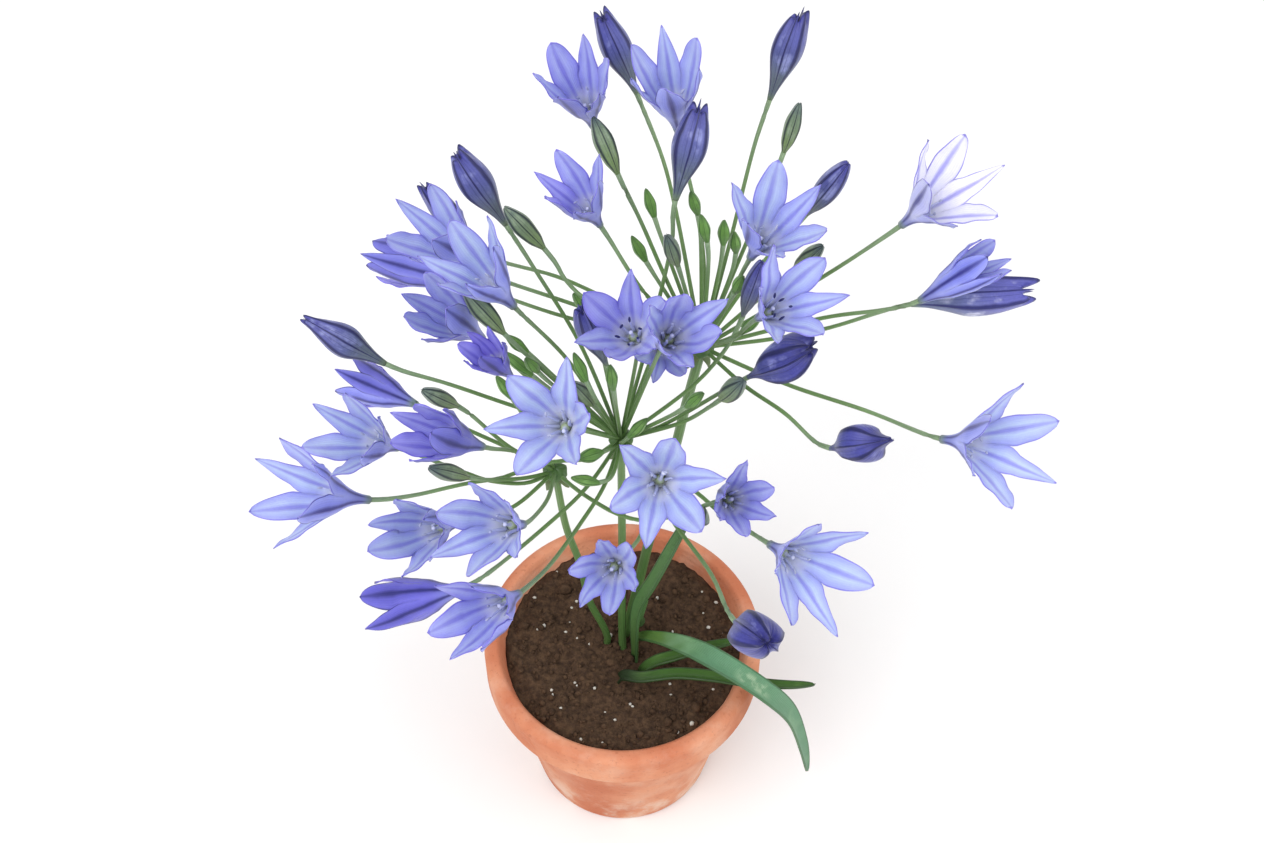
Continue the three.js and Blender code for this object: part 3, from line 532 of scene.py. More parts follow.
smallBuds = [
    dict(umbel="right", base=(657, 266), tip=(647, 234), near=8),
    dict(umbel="right", base=(648, 313), tip=(632, 285), near=10),
    dict(umbel="right", base=(704, 262), tip=(696, 237), near=26),
    dict(umbel="right", base=(714, 292), tip=(707, 262), near=30),
    dict(umbel="right", base=(731, 295), tip=(732, 268), near=22),
    dict(umbel="right", base=(745, 303), tip=(743, 281), near=14),
    dict(umbel="right", base=(743, 346), tip=(752, 328), near=34),
    dict(umbel="right", base=(750, 390), tip=(772, 370), near=36),
    dict(umbel="middle", base=(585, 365), tip=(569, 347), near=12),
    dict(umbel="middle", base=(583, 443), tip=(569, 412), near=34),
    dict(umbel="middle", base=(612, 452), tip=(608, 425), near=44),
    dict(umbel="middle", base=(525, 437), tip=(492, 410), near=18),
    dict(umbel="left", base=(503, 462), tip=(485, 437), near=12),
    dict(umbel="middle", base=(520, 412), tip=(495, 392), near=14),
    dict(umbel="middle", base=(530, 432), tip=(517, 417), near=26),
    dict(umbel="middle", base=(628, 503), tip=(648, 483), near=16),
    dict(umbel="middle", base=(690, 470), tip=(709, 455), near=36),
    dict(umbel="middle", base=(597, 553), tip=(567, 547), near=20),
    dict(umbel="middle", base=(600, 519), tip=(574, 526), near=14, width=5.4),
]


def numbered(rows, kind):
    # each row with its node's name, such as bloom_left_3: rows are counted within their umbel
    counts = dict.fromkeys(umbels, 0)
    for row in rows:
        counts[row["umbel"]] += 1
        yield row, f"{kind}_{row['umbel']}_{counts[row['umbel']]}"


# Flowers
# Lengths are millimetres and leans degrees; a pair is for a shut and a full flower, or a start and an end
flower = dict(tube=13, lobe=23.5, neck=1.25, waist=(2.7, 2.05), mouth=(4.9, 5.5), below=0.2, broad=5.4,
              narrow=4.4, meanLean=32, startLean=(11, 32), endLean=(-10, 43), narrowLean=3, leanScatter=2.2,
              leanOn=(0.15, 0.6), notch=(0.26, 0.46), overlap=1.01, broadTaper=(3, 0.68),
              narrowTaper=(1.6, 0.84), wall=0.3, whorlGap=0.2, keel=0.22, keelWidth=0.16,
              keelOn=(0.02, 0.2), ruffle=0.4, ruffleOn=(0.3, 0.6), waves=(0.8, 1.3), curl=(-1.2, 1.0),
              bend=0.9, twist=10, twistOn=(0.2, 1), toneScatter=0.07, across=10, tubeRows=9, lobeRows=20,
              seed=100)
petalColour = dict(
    inside=dict(pale=(190, 205, 230), deep=(172, 165, 242), paleEdge=(166, 173, 228),
                deepEdge=(146, 135, 232), paleRib=(126, 119, 210), deepRib=(108, 97, 206),
                # inside, the throat is lighter than its real pale tint: painted light standing in for light
                # that comes through the petals into the shaded funnel
                throat=(226, 228, 234)),
    outside=dict(pale=(136, 144, 230), deep=(88, 84, 182), paleEdge=(166, 174, 244),
                 deepEdge=(106, 102, 200), paleRib=(46, 44, 130), deepRib=(36, 34, 108),
                 throat=(120, 126, 196)),
    snow=(245, 243, 253), foot=(116, 138, 112),
)
# Each ramp: where it starts and ends along the petal or off its middle, then the shares there, if they
# aren't 0 and 1; throat has its shares alone
petalRamps = dict(deep=(0.1, 1.0), snow=(-0.5, -0.2), edge=(0.25, 0.95), tip=(0.72, 1.0, 0, 0.45),
                  throat=(0.8, 0), ribNarrow=(0.15, 0.5, 0.55, 1), ribFade=(0.65, 1.0, 1, 0.6),
                  sideBorder=(0.9, 0.97), tipBorder=(0.97, 0.99), margin=(0.52, 0.62, 0, 0.85),
                  foot=(0.0, 0.12, 0.85, 0))


def bloomPlace(bloom):
    # base, facing and first lobe: the lobes' middle lies on its pixel, and one lobe's tip on its own
    size = bloom.get("size", 1)
    base = seen(bloom["base"], bloom["near"])
    ahead = flower["lobe"] * math.cos(math.radians(flower["meanLean"] * bloom["open"]))
    centre = reach(base, bloom["centre"], (flower["tube"] + ahead) * size * mm, bloom.get("away", False))
    axis = unit(centre - base)
    line = sightLine(bloom["tip"])
    first = unit(viewer + line * ((centre - viewer) @ axis) / (line @ axis) - centre)
    return base, axis, first, np.cross(axis, first), size


def funnelRadius(bloom, t):
    # the curve through neck, waist and mouth at none, half and all of the tube
    waist, mouth = lerp(*flower["waist"], bloom["open"]), lerp(*flower["mouth"], bloom["open"])
    return flower["neck"] * (1 - t) * (1 - 2 * t) + waist * 4 * t * (1 - t) + mouth * t * (2 * t - 1)


def petalParts(bloom, rng):
    # Six tepals share a funnel and stay joined to the notch. Along a tepal the middle line climbs the
    # funnel and leans out. Across it u goes from -1 to 1, and with a = u halfArc / r a point stands
    # r sin(a) aside and r (1 - cos(a)) inward
    base, axis, first, second, size = bloomPlace(bloom)
    lobe = np.arange(6)
    narrow = (lobe + bloom.get("wide", False)) % 2 == 0
    extra = np.radians(flower["narrowLean"] * narrow + rng.normal(0, flower["leanScatter"], 6))
    start, end = (math.radians(lerp(*flower[key], bloom["open"])) for key in ("startLean", "endLean"))
    s = np.linspace(0, 1, flower["lobeRows"] + 1)[1:]
    lean = lerp(start, end, s / 2) + extra[:, None] * softStep(s, *flower["leanOn"])
    apart = softStep(s, *flower["notch"])
    gap = np.where(narrow, 1, -1)[:, None] * flower["whorlGap"] * apart
    t = np.linspace(0, 1, flower["tubeRows"] + 1)
    funnel = funnelRadius(bloom, t)
    lobeRadius = funnel[-1] + flower["lobe"] * s * np.sin(lean)
    widest = bloom.get("slim", 1) * np.where(narrow, flower["narrow"], flower["broad"])[:, None]
    thin, full = ((1 - s ** power) ** root for power, root in (flower["narrowTaper"], flower["broadTaper"]))
    taper = np.where(narrow[:, None], thin, full)
    sixth = math.pi / 6

    def rowsOf(tubeRow, lobeRow):
        return np.concatenate([np.broadcast_to(tubeRow, (6, len(tubeRow))), lobeRow], axis=1)

    lobeAlong = flower["tube"] + flower["lobe"] * s * np.cos(lean)
    along = rowsOf(np.r_[-flower["below"], flower["tube"] * t], lobeAlong)
    radius = rowsOf(np.r_[0, funnel], lobeRadius + gap)
    liftLean = rowsOf(np.zeros(len(t) + 1), lean * apart)
    lobeHalf = lerp(sixth * flower["overlap"] * lobeRadius, widest * taper, apart)
    half = rowsOf(np.r_[0, sixth * funnel], lobeHalf)
    share = np.r_[np.zeros(len(t) + 1), s]
    u = np.linspace(-1, 1, flower["across"] + 1)
    # shapes below are lobe, row, column
    curve = np.maximum(radius, 1e-3)[..., None]
    turn = u * half[..., None] / curve
    aside = curve * np.sin(turn)
    inward = curve * (1 - np.cos(turn))
    keel = flower["keel"] * np.exp(-(u / flower["keelWidth"]) ** 2)
    keel = keel * softStep(share, *flower["keelOn"])[:, None] * (1 - share ** 4)[:, None]
    phase = np.where(u < 0, *rng.uniform(0, 2 * math.pi, (6, 2, 1, 1)).swapaxes(0, 1))
    wave = np.sin(4 * math.pi * share[:, None] * rng.uniform(*flower["waves"], (6, 1, 1)) + phase)
    ruffle = flower["ruffle"] * wave * np.abs(u) ** 3 * softStep(share, *flower["ruffleOn"])[:, None]
    curl = rng.uniform(*flower["curl"], (6, 1, 1)) * (share ** 3)[:, None]
    twist = np.radians(rng.normal(0, flower["twist"], (6, 1, 1)))
    twist = twist * softStep(share, *flower["twistOn"])[:, None]
    outward = keel + ruffle + curl + aside * np.sin(twist) - inward
    aside = aside * np.cos(twist) + rng.normal(0, flower["bend"], (6, 1, 1)) * (share ** 2)[:, None]
    forth = along[..., None] - outward * np.sin(liftLean)[..., None]
    out = radius[..., None] + outward * np.cos(liftLean)[..., None]
    angle = (lobe * math.pi / 3)[:, None]
    ray = np.cos(angle) * first + np.sin(angle) * second
    cross = np.cos(angle) * second - np.sin(angle) * first
    grid = base + size * mm * (forth[..., None] * axis + out[..., None] * ray[:, None, None]
                               + aside[..., None] * cross[:, None, None])
    fullLength = flower["tube"] + flower["lobe"]
    rowPlace = np.r_[0, flower["tube"] * t / fullLength, (flower["tube"] + flower["lobe"] * s) / fullLength]
    tones = bloom["tone"] + rng.normal(0, flower["toneScatter"], 6)
    return [surface(grid[k], along=rowPlace, tone=tones[k]) for k in range(6)]


# low and high are where a filament leaves the funnel and ends, for the short and the long ones; the
# pistil's rows are places along the axis, above the funnel's floor or below the style's top, and radii
stamen = dict(low=(6.0, 13.4), high=(7.6, 16.2), filament=(0.62, 0.24), hug=1.1, half=(0.5, 0.4), sway=0.08,
              anther=0.4, antherLength=2.4, antherHold=0.35, nod=(-0.5, 0.9), roll=0.4, spread=(2.6, 4.2),
              rows=7, beadRows=9, sides=8, style=13, floor=6.2, pistilSides=18, ovary=(2.4, 3.4),
              pistilLow=[(0.3, 1.0), (0.9, 1.35), (1.8, 1.35), (2.6, 0.9), (3.2, 0.42)],
              pistilTop=[(1.5, 0.36), (0.8, 0.5), (0.4, 0.7), (0, 0.3)])


def stamenParts(bloom, rng):
    # Filaments leave the funnel's wall and lean in towards its axis. An anther is a long bead with
    # r = anther sin(pi t) ** 0.6 along its length. A pale floor closes the funnel, and the green ovary
    # stands on it with the style on top
    base, axis, first, second, size = bloomPlace(bloom)
    parts = []

    def at(along, out, ray):
        return base + size * mm * (axis * along + ray * out)

    for k in range(6):
        angle = k * math.pi / 3 + rng.normal(0, stamen["sway"])
        ray = math.cos(angle) * first + math.sin(angle) * second
        low, high = stamen["low"] if k % 2 else stamen["high"]
        leave = funnelRadius(bloom, low / flower["tube"]) - stamen["filament"][0] * stamen["hug"]
        arrive = lerp(*stamen["spread"], bloom["open"])
        high += rng.normal(0, 0.5)
        halfUp, halfIn = stamen["half"]
        line = smoothLine([at(low, leave, ray), at(lerp(low, high, halfUp), lerp(leave, arrive, halfIn), ray),
                           at(high, arrive, ray)], stamen["rows"])
        radius = np.linspace(*stamen["filament"], stamen["rows"]) * size * mm
        parts.append(tube(line, radius, stamen["sides"]))
        nod, roll = rng.uniform(*stamen["nod"]), rng.normal(0, stamen["roll"])
        lay = unit(axis + ray * nod + np.cross(axis, ray) * roll)
        t = np.linspace(0.02, 0.98, stamen["beadRows"])
        bead = line[-1] + lay * ((t - stamen["antherHold"]) * stamen["antherLength"] * size * mm)[:, None]
        parts.append(tube(bead, stamen["anther"] * size * mm * np.sin(math.pi * t) ** 0.6, stamen["sides"],
                          tone=1.0 if bloom.get("dark") else 0.0, material=1, ridge=0.12, ridges=2))
    floor, styleTop = stamen["floor"], stamen["style"] + bloom.get("style", 0)
    wide = funnelRadius(bloom, floor / flower["tube"])
    swell = np.array([(1, 0.4), (floor - 1.6, 0.5), (floor - 0.2, wide), (floor, wide),
                      *[(floor + up, r) for up, r in stamen["pistilLow"]],
                      *[(styleTop - down, r) for down, r in stamen["pistilTop"]]])
    shift = bloom.get("styleLean", 0.5) * (swell[:, :1] / styleTop) ** 2
    line = base + size * mm * (axis * swell[:, :1] + first * shift)
    ends = [floor + up for up in stamen["ovary"]]
    green = softStep(swell[:, 0], floor, floor + 0.3) * (1 - softStep(swell[:, 0], *ends))
    sides = stamen["pistilSides"]
    tone = np.r_[np.repeat(green, sides), 0, 0]
    parts.append(tube(line, swell[:, 1] * size * mm, sides, tone=tone, material=2))
    return parts


def petalMaterial(name, colour, ribWidth, ribShade, ribStart, throatEnd, roughness, snowShare):
    # a soft darker rib down the middle, fine veins beside it, a thin dark margin and a throat colour; inside,
    # that colour is the real pale throat made lighter still as painted light
    material, tree, shader = newMaterial(name, roughness, 0.3, sheen=0.15, glow=0.3,
                                         glowRadius=(0.8, 0.8, 1.1))
    across, along = pieceUv(tree)
    tone = pieceTone(tree)
    off = offMiddle(tree, across)
    ramp = petalRamps
    deepness, whiteness = addRamp(tree, tone, *ramp["deep"]), addRamp(tree, tone, *ramp["snow"], snowShare, 0)

    def toned(part):
        return addMix(tree, deepness, tint(*colour["pale" + part]), tint(*colour["deep" + part]))

    plain, edge, dark = toned(""), toned("Edge"), toned("Rib")
    body = addMix(tree, addRamp(tree, off, *ramp["edge"]), plain, edge)
    body = addMix(tree, addRamp(tree, along, *ramp["tip"]), body, edge)
    body = addMix(tree, whiteness, body, tint(*petalColour["snow"]))
    line = useGroup(tree, veins, Across=across, Along=along, Lines=13)["Line"]
    body = addMix(tree, times(tree, line, 0.09), body, dark)
    # painted light: inside, the throat colour is lighter than the real throat, against the shade deep in the
    # funnel
    body = addMix(tree, addRamp(tree, along, *throatEnd, *ramp["throat"]), body, tint(*colour["throat"]))
    spread = times(tree, addNoise(tree, objectPlace(tree), 260, 2), 0.12)
    narrowed = times(tree, off, addRamp(tree, along, *ramp["ribNarrow"]))
    soft = addRamp(tree, plus(tree, narrowed, spread), ribWidth * 0.3, ribWidth + 0.1, 1, 0)
    strength = addRamp(tree, along, *ribStart, 0.4 * ribShade, ribShade)
    rib = times(tree, soft, times(tree, strength, addRamp(tree, along, *ramp["ribFade"])))
    body = addMix(tree, rib, body, dark)
    border = addMath(tree, "MAXIMUM", addRamp(tree, off, *ramp["sideBorder"]),
                     addRamp(tree, along, *ramp["tipBorder"]))
    body = addMix(tree, times(tree, border, addRamp(tree, along, *ramp["margin"])), body, dark)
    body = addMix(tree, addRamp(tree, along, *ramp["foot"]), body, tint(*petalColour["foot"]))
    living = useGroup(tree, mottle, Colour=body, Patches=0.18, Grain=0.12, Size=1.0)
    relief = plus(tree, times(tree, line, 0.5), times(tree, living["Height"], 0.5))
    coat(tree, shader, living["Colour"], relief, 0.00012, 0.5)
    return material


def toneMaterial(name, low, high, roughness):
    # one colour where the piece's tone is 0, another where it is 1, with living mottle
    material, tree, shader = newMaterial(name, roughness, 0.4)
    body = addMix(tree, pieceTone(tree), tint(*low), tint(*high))
    living = useGroup(tree, mottle, Colour=body, Patches=0.3, Grain=0.2, Size=2.0)
    coat(tree, shader, living["Colour"], living["Height"], 0.0001, 0.4)
    return material


petalOuter = petalMaterial("petalOutside", petalColour["outside"], ribWidth=0.3, ribShade=0.95,
                           ribStart=(0.0, 0.1), throatEnd=(0.1, 0.32), roughness=0.5, snowShare=0.4)
petalInner = petalMaterial("petalInside", petalColour["inside"], ribWidth=0.3, ribShade=0.68,
                           ribStart=(0.24, 0.44), throatEnd=(0.26, 0.45), roughness=0.52, snowShare=0.9)
stamenLook = [toneMaterial("filament", (196, 202, 232), (214, 218, 240), 0.45),
              toneMaterial("anther", (188, 192, 212), (52, 54, 100), 0.7),
              toneMaterial("pistil", (214, 217, 234), (176, 192, 142), 0.45)]

for index, (bloom, node) in enumerate(numbered(blooms, "bloom")):
    rng = np.random.default_rng(flower["seed"] + index)
    slot = bloom.get("slot", "petal")
    makePiece(node + "_petals", petalParts(bloom, rng), [petalOuter, petalInner], slot, [node], weld=True,
              wall=flower["wall"] * mm, turnedWall=1)
    makePiece(node + "_stamens", stamenParts(bloom, rng), stamenLook, slot)
print("flowers built")


# Large buds
# spacing is how much a profile's widths count, beside its lengths, where its points are spaced
budForm = dict(length=29, sides=48, rows=36, crowd=0.28, spacing=0.4, creaseOn=(0.05, 0.4),
               lumpOn=(0.15, 0.45), toothOn=(0.75, 0.96), tooth=(0.2, 1.4), start=0.25, seed=300)
budShapes = dict(  # profile: how far along and how wide, of length and width; beak: the teeth, of length
    slim=dict(crease=0.1, lump=0.03, twist=0.25, beak=0.09, profile=[
        (0, 0.16), (0.12, 0.26), (0.25, 0.46), (0.4, 0.76), (0.52, 0.95), (0.6, 1), (0.72, 0.96), (0.84, 0.8),
        (0.93, 0.6), (0.965, 0.48), (0.95, 0.28), (0.9, 0.08)]),
    diamond=dict(crease=0.1, lump=0.03, twist=0.2, beak=0.05, profile=[
        (0, 0.16), (0.14, 0.3), (0.28, 0.58), (0.42, 0.92), (0.5, 1), (0.6, 0.94), (0.76, 0.66), (0.9, 0.38),
        (0.97, 0.26), (0.975, 0.16), (0.95, 0.06)]),
    oval=dict(crease=0.12, lump=0.02, twist=0.2, beak=0.02, profile=[
        (0, 0.16), (0.12, 0.34), (0.28, 0.7), (0.45, 0.95), (0.6, 1), (0.76, 0.86), (0.9, 0.56), (0.98, 0.26),
        (0.99, 0.14), (0.98, 0.05)]),
    plump=dict(crease=0.17, lump=0.12, twist=0.6, beak=0.12, profile=[
        (0, 0.1), (0.1, 0.18), (0.19, 0.36), (0.32, 0.72), (0.46, 0.96), (0.6, 1.04), (0.72, 1), (0.82, 0.8),
        (0.89, 0.5), (0.9, 0.3), (0.87, 0.12)]),
    beaked=dict(crease=0.15, lump=0.13, twist=0.5, beak=0.04, profile=[
        (0, 0.1), (0.1, 0.18), (0.2, 0.4), (0.34, 0.8), (0.48, 1.03), (0.6, 1.02), (0.7, 0.8), (0.79, 0.46),
        (0.88, 0.25), (0.98, 0.1), (0.99, 0.04)]),
    bursting=dict(crease=0.16, lump=0.06, twist=0.35, beak=0.12, profile=[
        (0, 0.14), (0.14, 0.28), (0.3, 0.62), (0.44, 0.92), (0.56, 1), (0.7, 0.97), (0.82, 0.85), (0.9, 0.7),
        (0.92, 0.5), (0.88, 0.28), (0.82, 0.08)]),
)
caseRamps = dict(body=(0.2, 0.7), tip=(0.66, 0.92), patch=(0.5, 0.68, 0, 0.75), patchOff=(0.35, 0.85),
                 patchOn=(0.1, 0.4), ribFrom=0.14, ribShares=(0.94, 0.0), seam=(0.985, 0.998, 0, 0.35),
                 foot=(0.0, 0.1, 0.85, 0))


def budPart(base, tip, width, form, rng, material=0):
    # a point at angle a stands r (1 - crease |sin 3a|) from the axis, r from the profile, so six ribs stand
    # out and one faces the viewer; a turns by crowd sin(2a), so the next ribs come nearer to that one;
    # lump sin(2a + 4t) makes it uneven; the ribs wind by twist and end in teeth, beak cos(3a) ** 4 long
    # times a chance factor
    length = np.linalg.norm(tip - base)
    axis = unit(tip - base)
    first = unit(viewer - base - axis * ((viewer - base) @ axis))
    second = np.cross(axis, first)
    profile = smoothLine(np.array(form["profile"]) * (1, budForm["spacing"]), form["rows"])
    t, r = profile[:, :1], profile[:, 1:] / budForm["spacing"] * width / 2 * mm
    rib = np.linspace(0, 2 * math.pi, form["sides"], endpoint=False)[None]
    r = r * (1 - form["crease"] * np.abs(np.sin(3 * rib)) * softStep(t, *budForm["creaseOn"]))
    r = r * (1 + form["lump"] * np.sin(2 * rib + 4 * t + rng.uniform(0, 6)) * softStep(t, *budForm["lumpOn"]))
    angle = rib - budForm["crowd"] * np.sin(2 * rib) + rng.uniform(-budForm["start"], budForm["start"])
    angle = angle + form["twist"] * rng.uniform(-1, 1) * (t - 0.5)
    tooth = form["beak"] * rng.uniform(*budForm["tooth"], 6)[np.round(rib / (math.pi / 3)).astype(int) % 6]
    forth = length * (t + tooth * np.cos(3 * rib) ** 4 * softStep(t, *budForm["toothOn"]))
    grid = (base + forth[..., None] * axis
            + r[..., None] * (np.cos(angle)[..., None] * first + np.sin(angle)[..., None] * second))
    return surface(grid, closed=True, material=material)


def buildRibs():
    # the case of a bud: dark ribs at each sixth of its girth, fine seams and pale patches between them,
    # a greener foot, and a base and tip of other colours
    colours = [(label, "Color", (1, 1, 1, 1)) for label in ("Base", "Body", "Rib", "Tip", "Pale", "Foot")]
    tree, given, made = newGroup("budCase", [*colours, ("Width", "Float", 0.3)],
                                 [("Colour", "Color"), ("Height", "Float")])
    across, along = pieceUv(tree)
    place = objectPlace(tree)
    ramp = caseRamps
    drift = times(tree, addMath(tree, "SUBTRACT", addNoise(tree, place, 200, 2), 0.5), 0.02)
    wave = addMath(tree, "SINE", times(tree, plus(tree, across, drift), 6 * math.pi))
    off = addMath(tree, "ABSOLUTE", wave)
    body = addMix(tree, addRamp(tree, along, *ramp["body"]), given["Base"], given["Body"])
    body = addMix(tree, addRamp(tree, along, *ramp["tip"]), body, given["Tip"])
    patch = addRamp(tree, addNoise(tree, place, 150, 3), *ramp["patch"])
    patch = times(tree, patch, addRamp(tree, off, *ramp["patchOff"]))
    body = addMix(tree, times(tree, patch, addRamp(tree, along, *ramp["patchOn"])), body, given["Pale"])
    line = useGroup(tree, veins, Across=across, Along=along, Lines=42)["Line"]
    body = addMix(tree, times(tree, line, 0.1), body, given["Rib"])
    rib = addRamp(tree, off, ramp["ribFrom"], given["Width"], *ramp["ribShares"])
    rib = addMath(tree, "MAXIMUM", rib, addRamp(tree, off, *ramp["seam"]))
    body = addMix(tree, rib, body, given["Rib"])
    body = addMix(tree, addRamp(tree, along, *ramp["foot"]), body, given["Foot"])
    living = useGroup(tree, mottle, Colour=body, Patches=0.5, Grain=0.35, Size=1.6)
    tree.links.new(living["Colour"], made["Colour"])
    tree.links.new(plus(tree, times(tree, line, 0.5), times(tree, living["Height"], 0.5)), made["Height"])
    return tree


ribs = buildRibs()


def budMaterial(name, width, roughness, **colours):
    # the ribbed case in one bud's colours; width is how far a rib's shade spreads
    material, tree, shader = newMaterial(name, roughness, 0.4, sheen=0.1, glow=0.08)
    case = useGroup(tree, ribs, Width=width, **{label: tint(*colour) for label, colour in colours.items()})
    coat(tree, shader, case["Colour"], case["Height"], 0.00015, 0.6)
    return material


blueBud = budMaterial("blueBud", 0.52, 0.42, Base=(94, 106, 118), Body=(84, 88, 156), Rib=(26, 28, 82),
                      Tip=(70, 70, 148), Pale=(148, 154, 206), Foot=(112, 132, 96))
plumpBud = budMaterial("plumpBud", 0.48, 0.42, Base=(74, 80, 146), Body=(68, 70, 148), Rib=(22, 24, 78),
                       Tip=(52, 52, 122), Pale=(150, 154, 214), Foot=(104, 118, 134))
openBud = budMaterial("openBud", 0.5, 0.42, Base=(104, 114, 150), Body=(98, 100, 178), Rib=(34, 34, 100),
                      Tip=(84, 84, 170), Pale=(216, 218, 240), Foot=(112, 132, 100))
greyBud = budMaterial("greyBud", 0.62, 0.45, Base=(124, 148, 94), Body=(116, 136, 108), Rib=(36, 48, 50),
                      Tip=(94, 112, 108), Pale=(148, 166, 136), Foot=(118, 146, 86))
greenBud = budMaterial("greenBud", 0.3, 0.45, Base=(96, 142, 62), Body=(102, 146, 66), Rib=(56, 92, 40),
                       Tip=(84, 122, 60), Pale=(136, 176, 96), Foot=(104, 146, 70))
budLook = dict(slim=blueBud, diamond=blueBud, oval=blueBud, plump=plumpBud, beaked=plumpBud,
               bursting=openBud)

for index, (row, node) in enumerate(numbered(largeBuds, "bud")):
    base = seen(row["base"], row["near"])
    tip = reach(base, row["tip"], budForm["length"] * mm)
    shape = row.get("shape", "slim")
    rng = np.random.default_rng(budForm["seed"] + index)
    part = budPart(base, tip, row["width"], dict(budForm, **budShapes[shape]), rng)
    makePiece(node + "_case", [part], [budLook[shape]], "bud", [node])
print("buds built")


# Stems, green buds and bracts
# swell is a stalklet's radius, of pedicel, at places along it; down and out are where a bract starts
stem = dict(pedicel=0.68, swell=[(0, 1.3), (0.06, 1), (0.8, 0.95), (1, 1.25)], pedicelRows=26,
            pedicelSides=10, sunkFlower=0.4, sunkBud=0.6, straight=6, scapeRows=60, scapeSides=20,
            scapeTop=0.85, ridge=0.03, ridges=7, soil=78, cormTop=55.6, mediumLength=18, smallLength=9.5,
            smallWidth=4.2, seed=500)
knob = dict(wide=3.9, high=2.5, lump=0.12, rows=14, sides=28)
bract = dict(length=6.5, width=2.9, lean=3.2, wall=0.4, down=1.5, out=1, cup=0.25, wave=0.2,
             turns=(0.4, 2.5, 4.6), rows=14, across=9, colour=(108, 124, 76), dry=(94, 112, 70))
mediumForm = dict(sides=30, rows=18, crease=0.14, lump=0.03, twist=0.15, beak=0.03,
                  profile=[(0, 0.2), (0.1, 0.38), (0.3, 0.8), (0.62, 1), (0.86, 0.66), (1, 0.26),
                           (1.02, 0.08)])
smallForm = dict(sides=24, rows=14, crease=0.12, lump=0.03, twist=0.3, beak=0.02,
                 profile=[(0, 0.3), (0.2, 0.62), (0.5, 1), (0.8, 0.7), (1, 0.26), (1.03, 0.06)])


def stalkRoute(start, startNear, startPixel, via, end, endNear, endPixel, bow=0):
    # the way seen in the photograph, evenly nearer or farther between its two ends; bow bends it nearer
    pixels = np.array([startPixel, *via, endPixel], float)
    run = np.cumsum(np.linalg.norm(np.diff(pixels, axis=0), axis=1))
    share = run[:-1] / run[-1]
    nears = lerp(startNear, endNear, share) + bow * np.sin(math.pi * share)
    return [start, *[seen(p, n) for p, n in zip(via, nears)], end]


def pedicelLine(umbel, row, base, axis, sunk):
    # from the hub by the pixels seen, then straight into the piece's base, and sunk millimetres into it
    start = seen(umbel["hub"], umbel["near"])
    end = base + axis * sunk * mm
    via = list(row.get("via", []))[::-1]
    bow = row.get("bow", 0)
    route = stalkRoute(start, umbel["near"], umbel["hub"], via, end, row["near"], row["base"], bow)
    while len(route) > 2 and np.linalg.norm(route[-2] - end) < 2 * stem["straight"] * mm:
        route.pop(-2)
    arrival = unit(axis * 0.8 + unit(end - route[-2]))  # between the piece's own direction and the stalklet's
    route.insert(-1, end - arrival * stem["straight"] * mm)
    return smoothLine(route, stem["pedicelRows"])


def scapeLine(umbel):
    # from the hub by the pixels seen to its foot in the soil, and on to the top of its corm
    hub = seen(umbel["hub"], umbel["near"])
    foot = np.array([*umbel["foot"], stem["soil"]]) * mm
    cormTop = np.array([*umbel["corm"], stem["cormTop"]]) * mm
    sight = foot - viewer
    depth = sight @ forward
    pixel = (photo["middle"][0] + photo["spread"] * (sight @ rightward) / depth,
             photo["middle"][1] - photo["spread"] * (sight @ upward) / depth)
    near = (photo["distance"] - depth) / mm
    route = stalkRoute(hub, umbel["near"], umbel["hub"], umbel["via"], foot, near, pixel)
    return smoothLine([*route, cormTop + np.array([0, 0, stem["straight"] * mm]), cormTop], stem["scapeRows"])


def knobPart(hub, rng):
    # a flattened lumpy ball: r (1 + lump sin(5 a) sin(4 b)), its height less than its width
    up, turn = np.meshgrid(np.linspace(0.06, 0.94, knob["rows"]) * math.pi,
                           np.linspace(0, 2 * math.pi, knob["sides"], endpoint=False), indexing="ij")
    r = mm * (1 + knob["lump"] * np.sin(5 * turn + rng.uniform(0, 6)) * np.sin(4 * up))
    wide, high = knob["wide"], knob["high"]
    grid = hub + np.stack([wide * r * np.sin(up) * np.cos(turn), wide * r * np.sin(up) * np.sin(turn),
                           -high * r * np.cos(up)], -1)
    return surface(grid, closed=True, tone=1.0)


def bractPart(hub, down, turn, rng):
    # a pointed scale that leaves the knob and lies back: half width w sin(pi (0.25 + 0.75 t)) ** 0.8,
    # cupped round its middle, and out + lean sin(pi t / 2) ** 1.3 from the stalk, with a slight wave
    helper = np.array([1.0, 0, 0])
    first = unit(helper - down * (helper @ down))
    outward = math.cos(turn) * first + math.sin(turn) * np.cross(down, first)
    aside = np.cross(down, outward)
    t, u = np.meshgrid(np.linspace(0, 1, bract["rows"]), np.linspace(-1, 1, bract["across"]), indexing="ij")
    half = bract["width"] / 2 * np.sin(math.pi * (0.25 + 0.75 * t)) ** 0.8 + 0.05
    forth = bract["down"] + bract["length"] * t
    out = bract["out"] + bract["lean"] * np.sin(t * math.pi / 2) ** 1.3 - bract["cup"] * u ** 2 * half
    out = out + bract["wave"] * np.sin(9 * t + rng.uniform(0, 6))
    grid = hub + mm * (forth[..., None] * down + out[..., None] * outward + (u * half)[..., None] * aside)
    return surface(grid, tone=rng.uniform(0, 1))


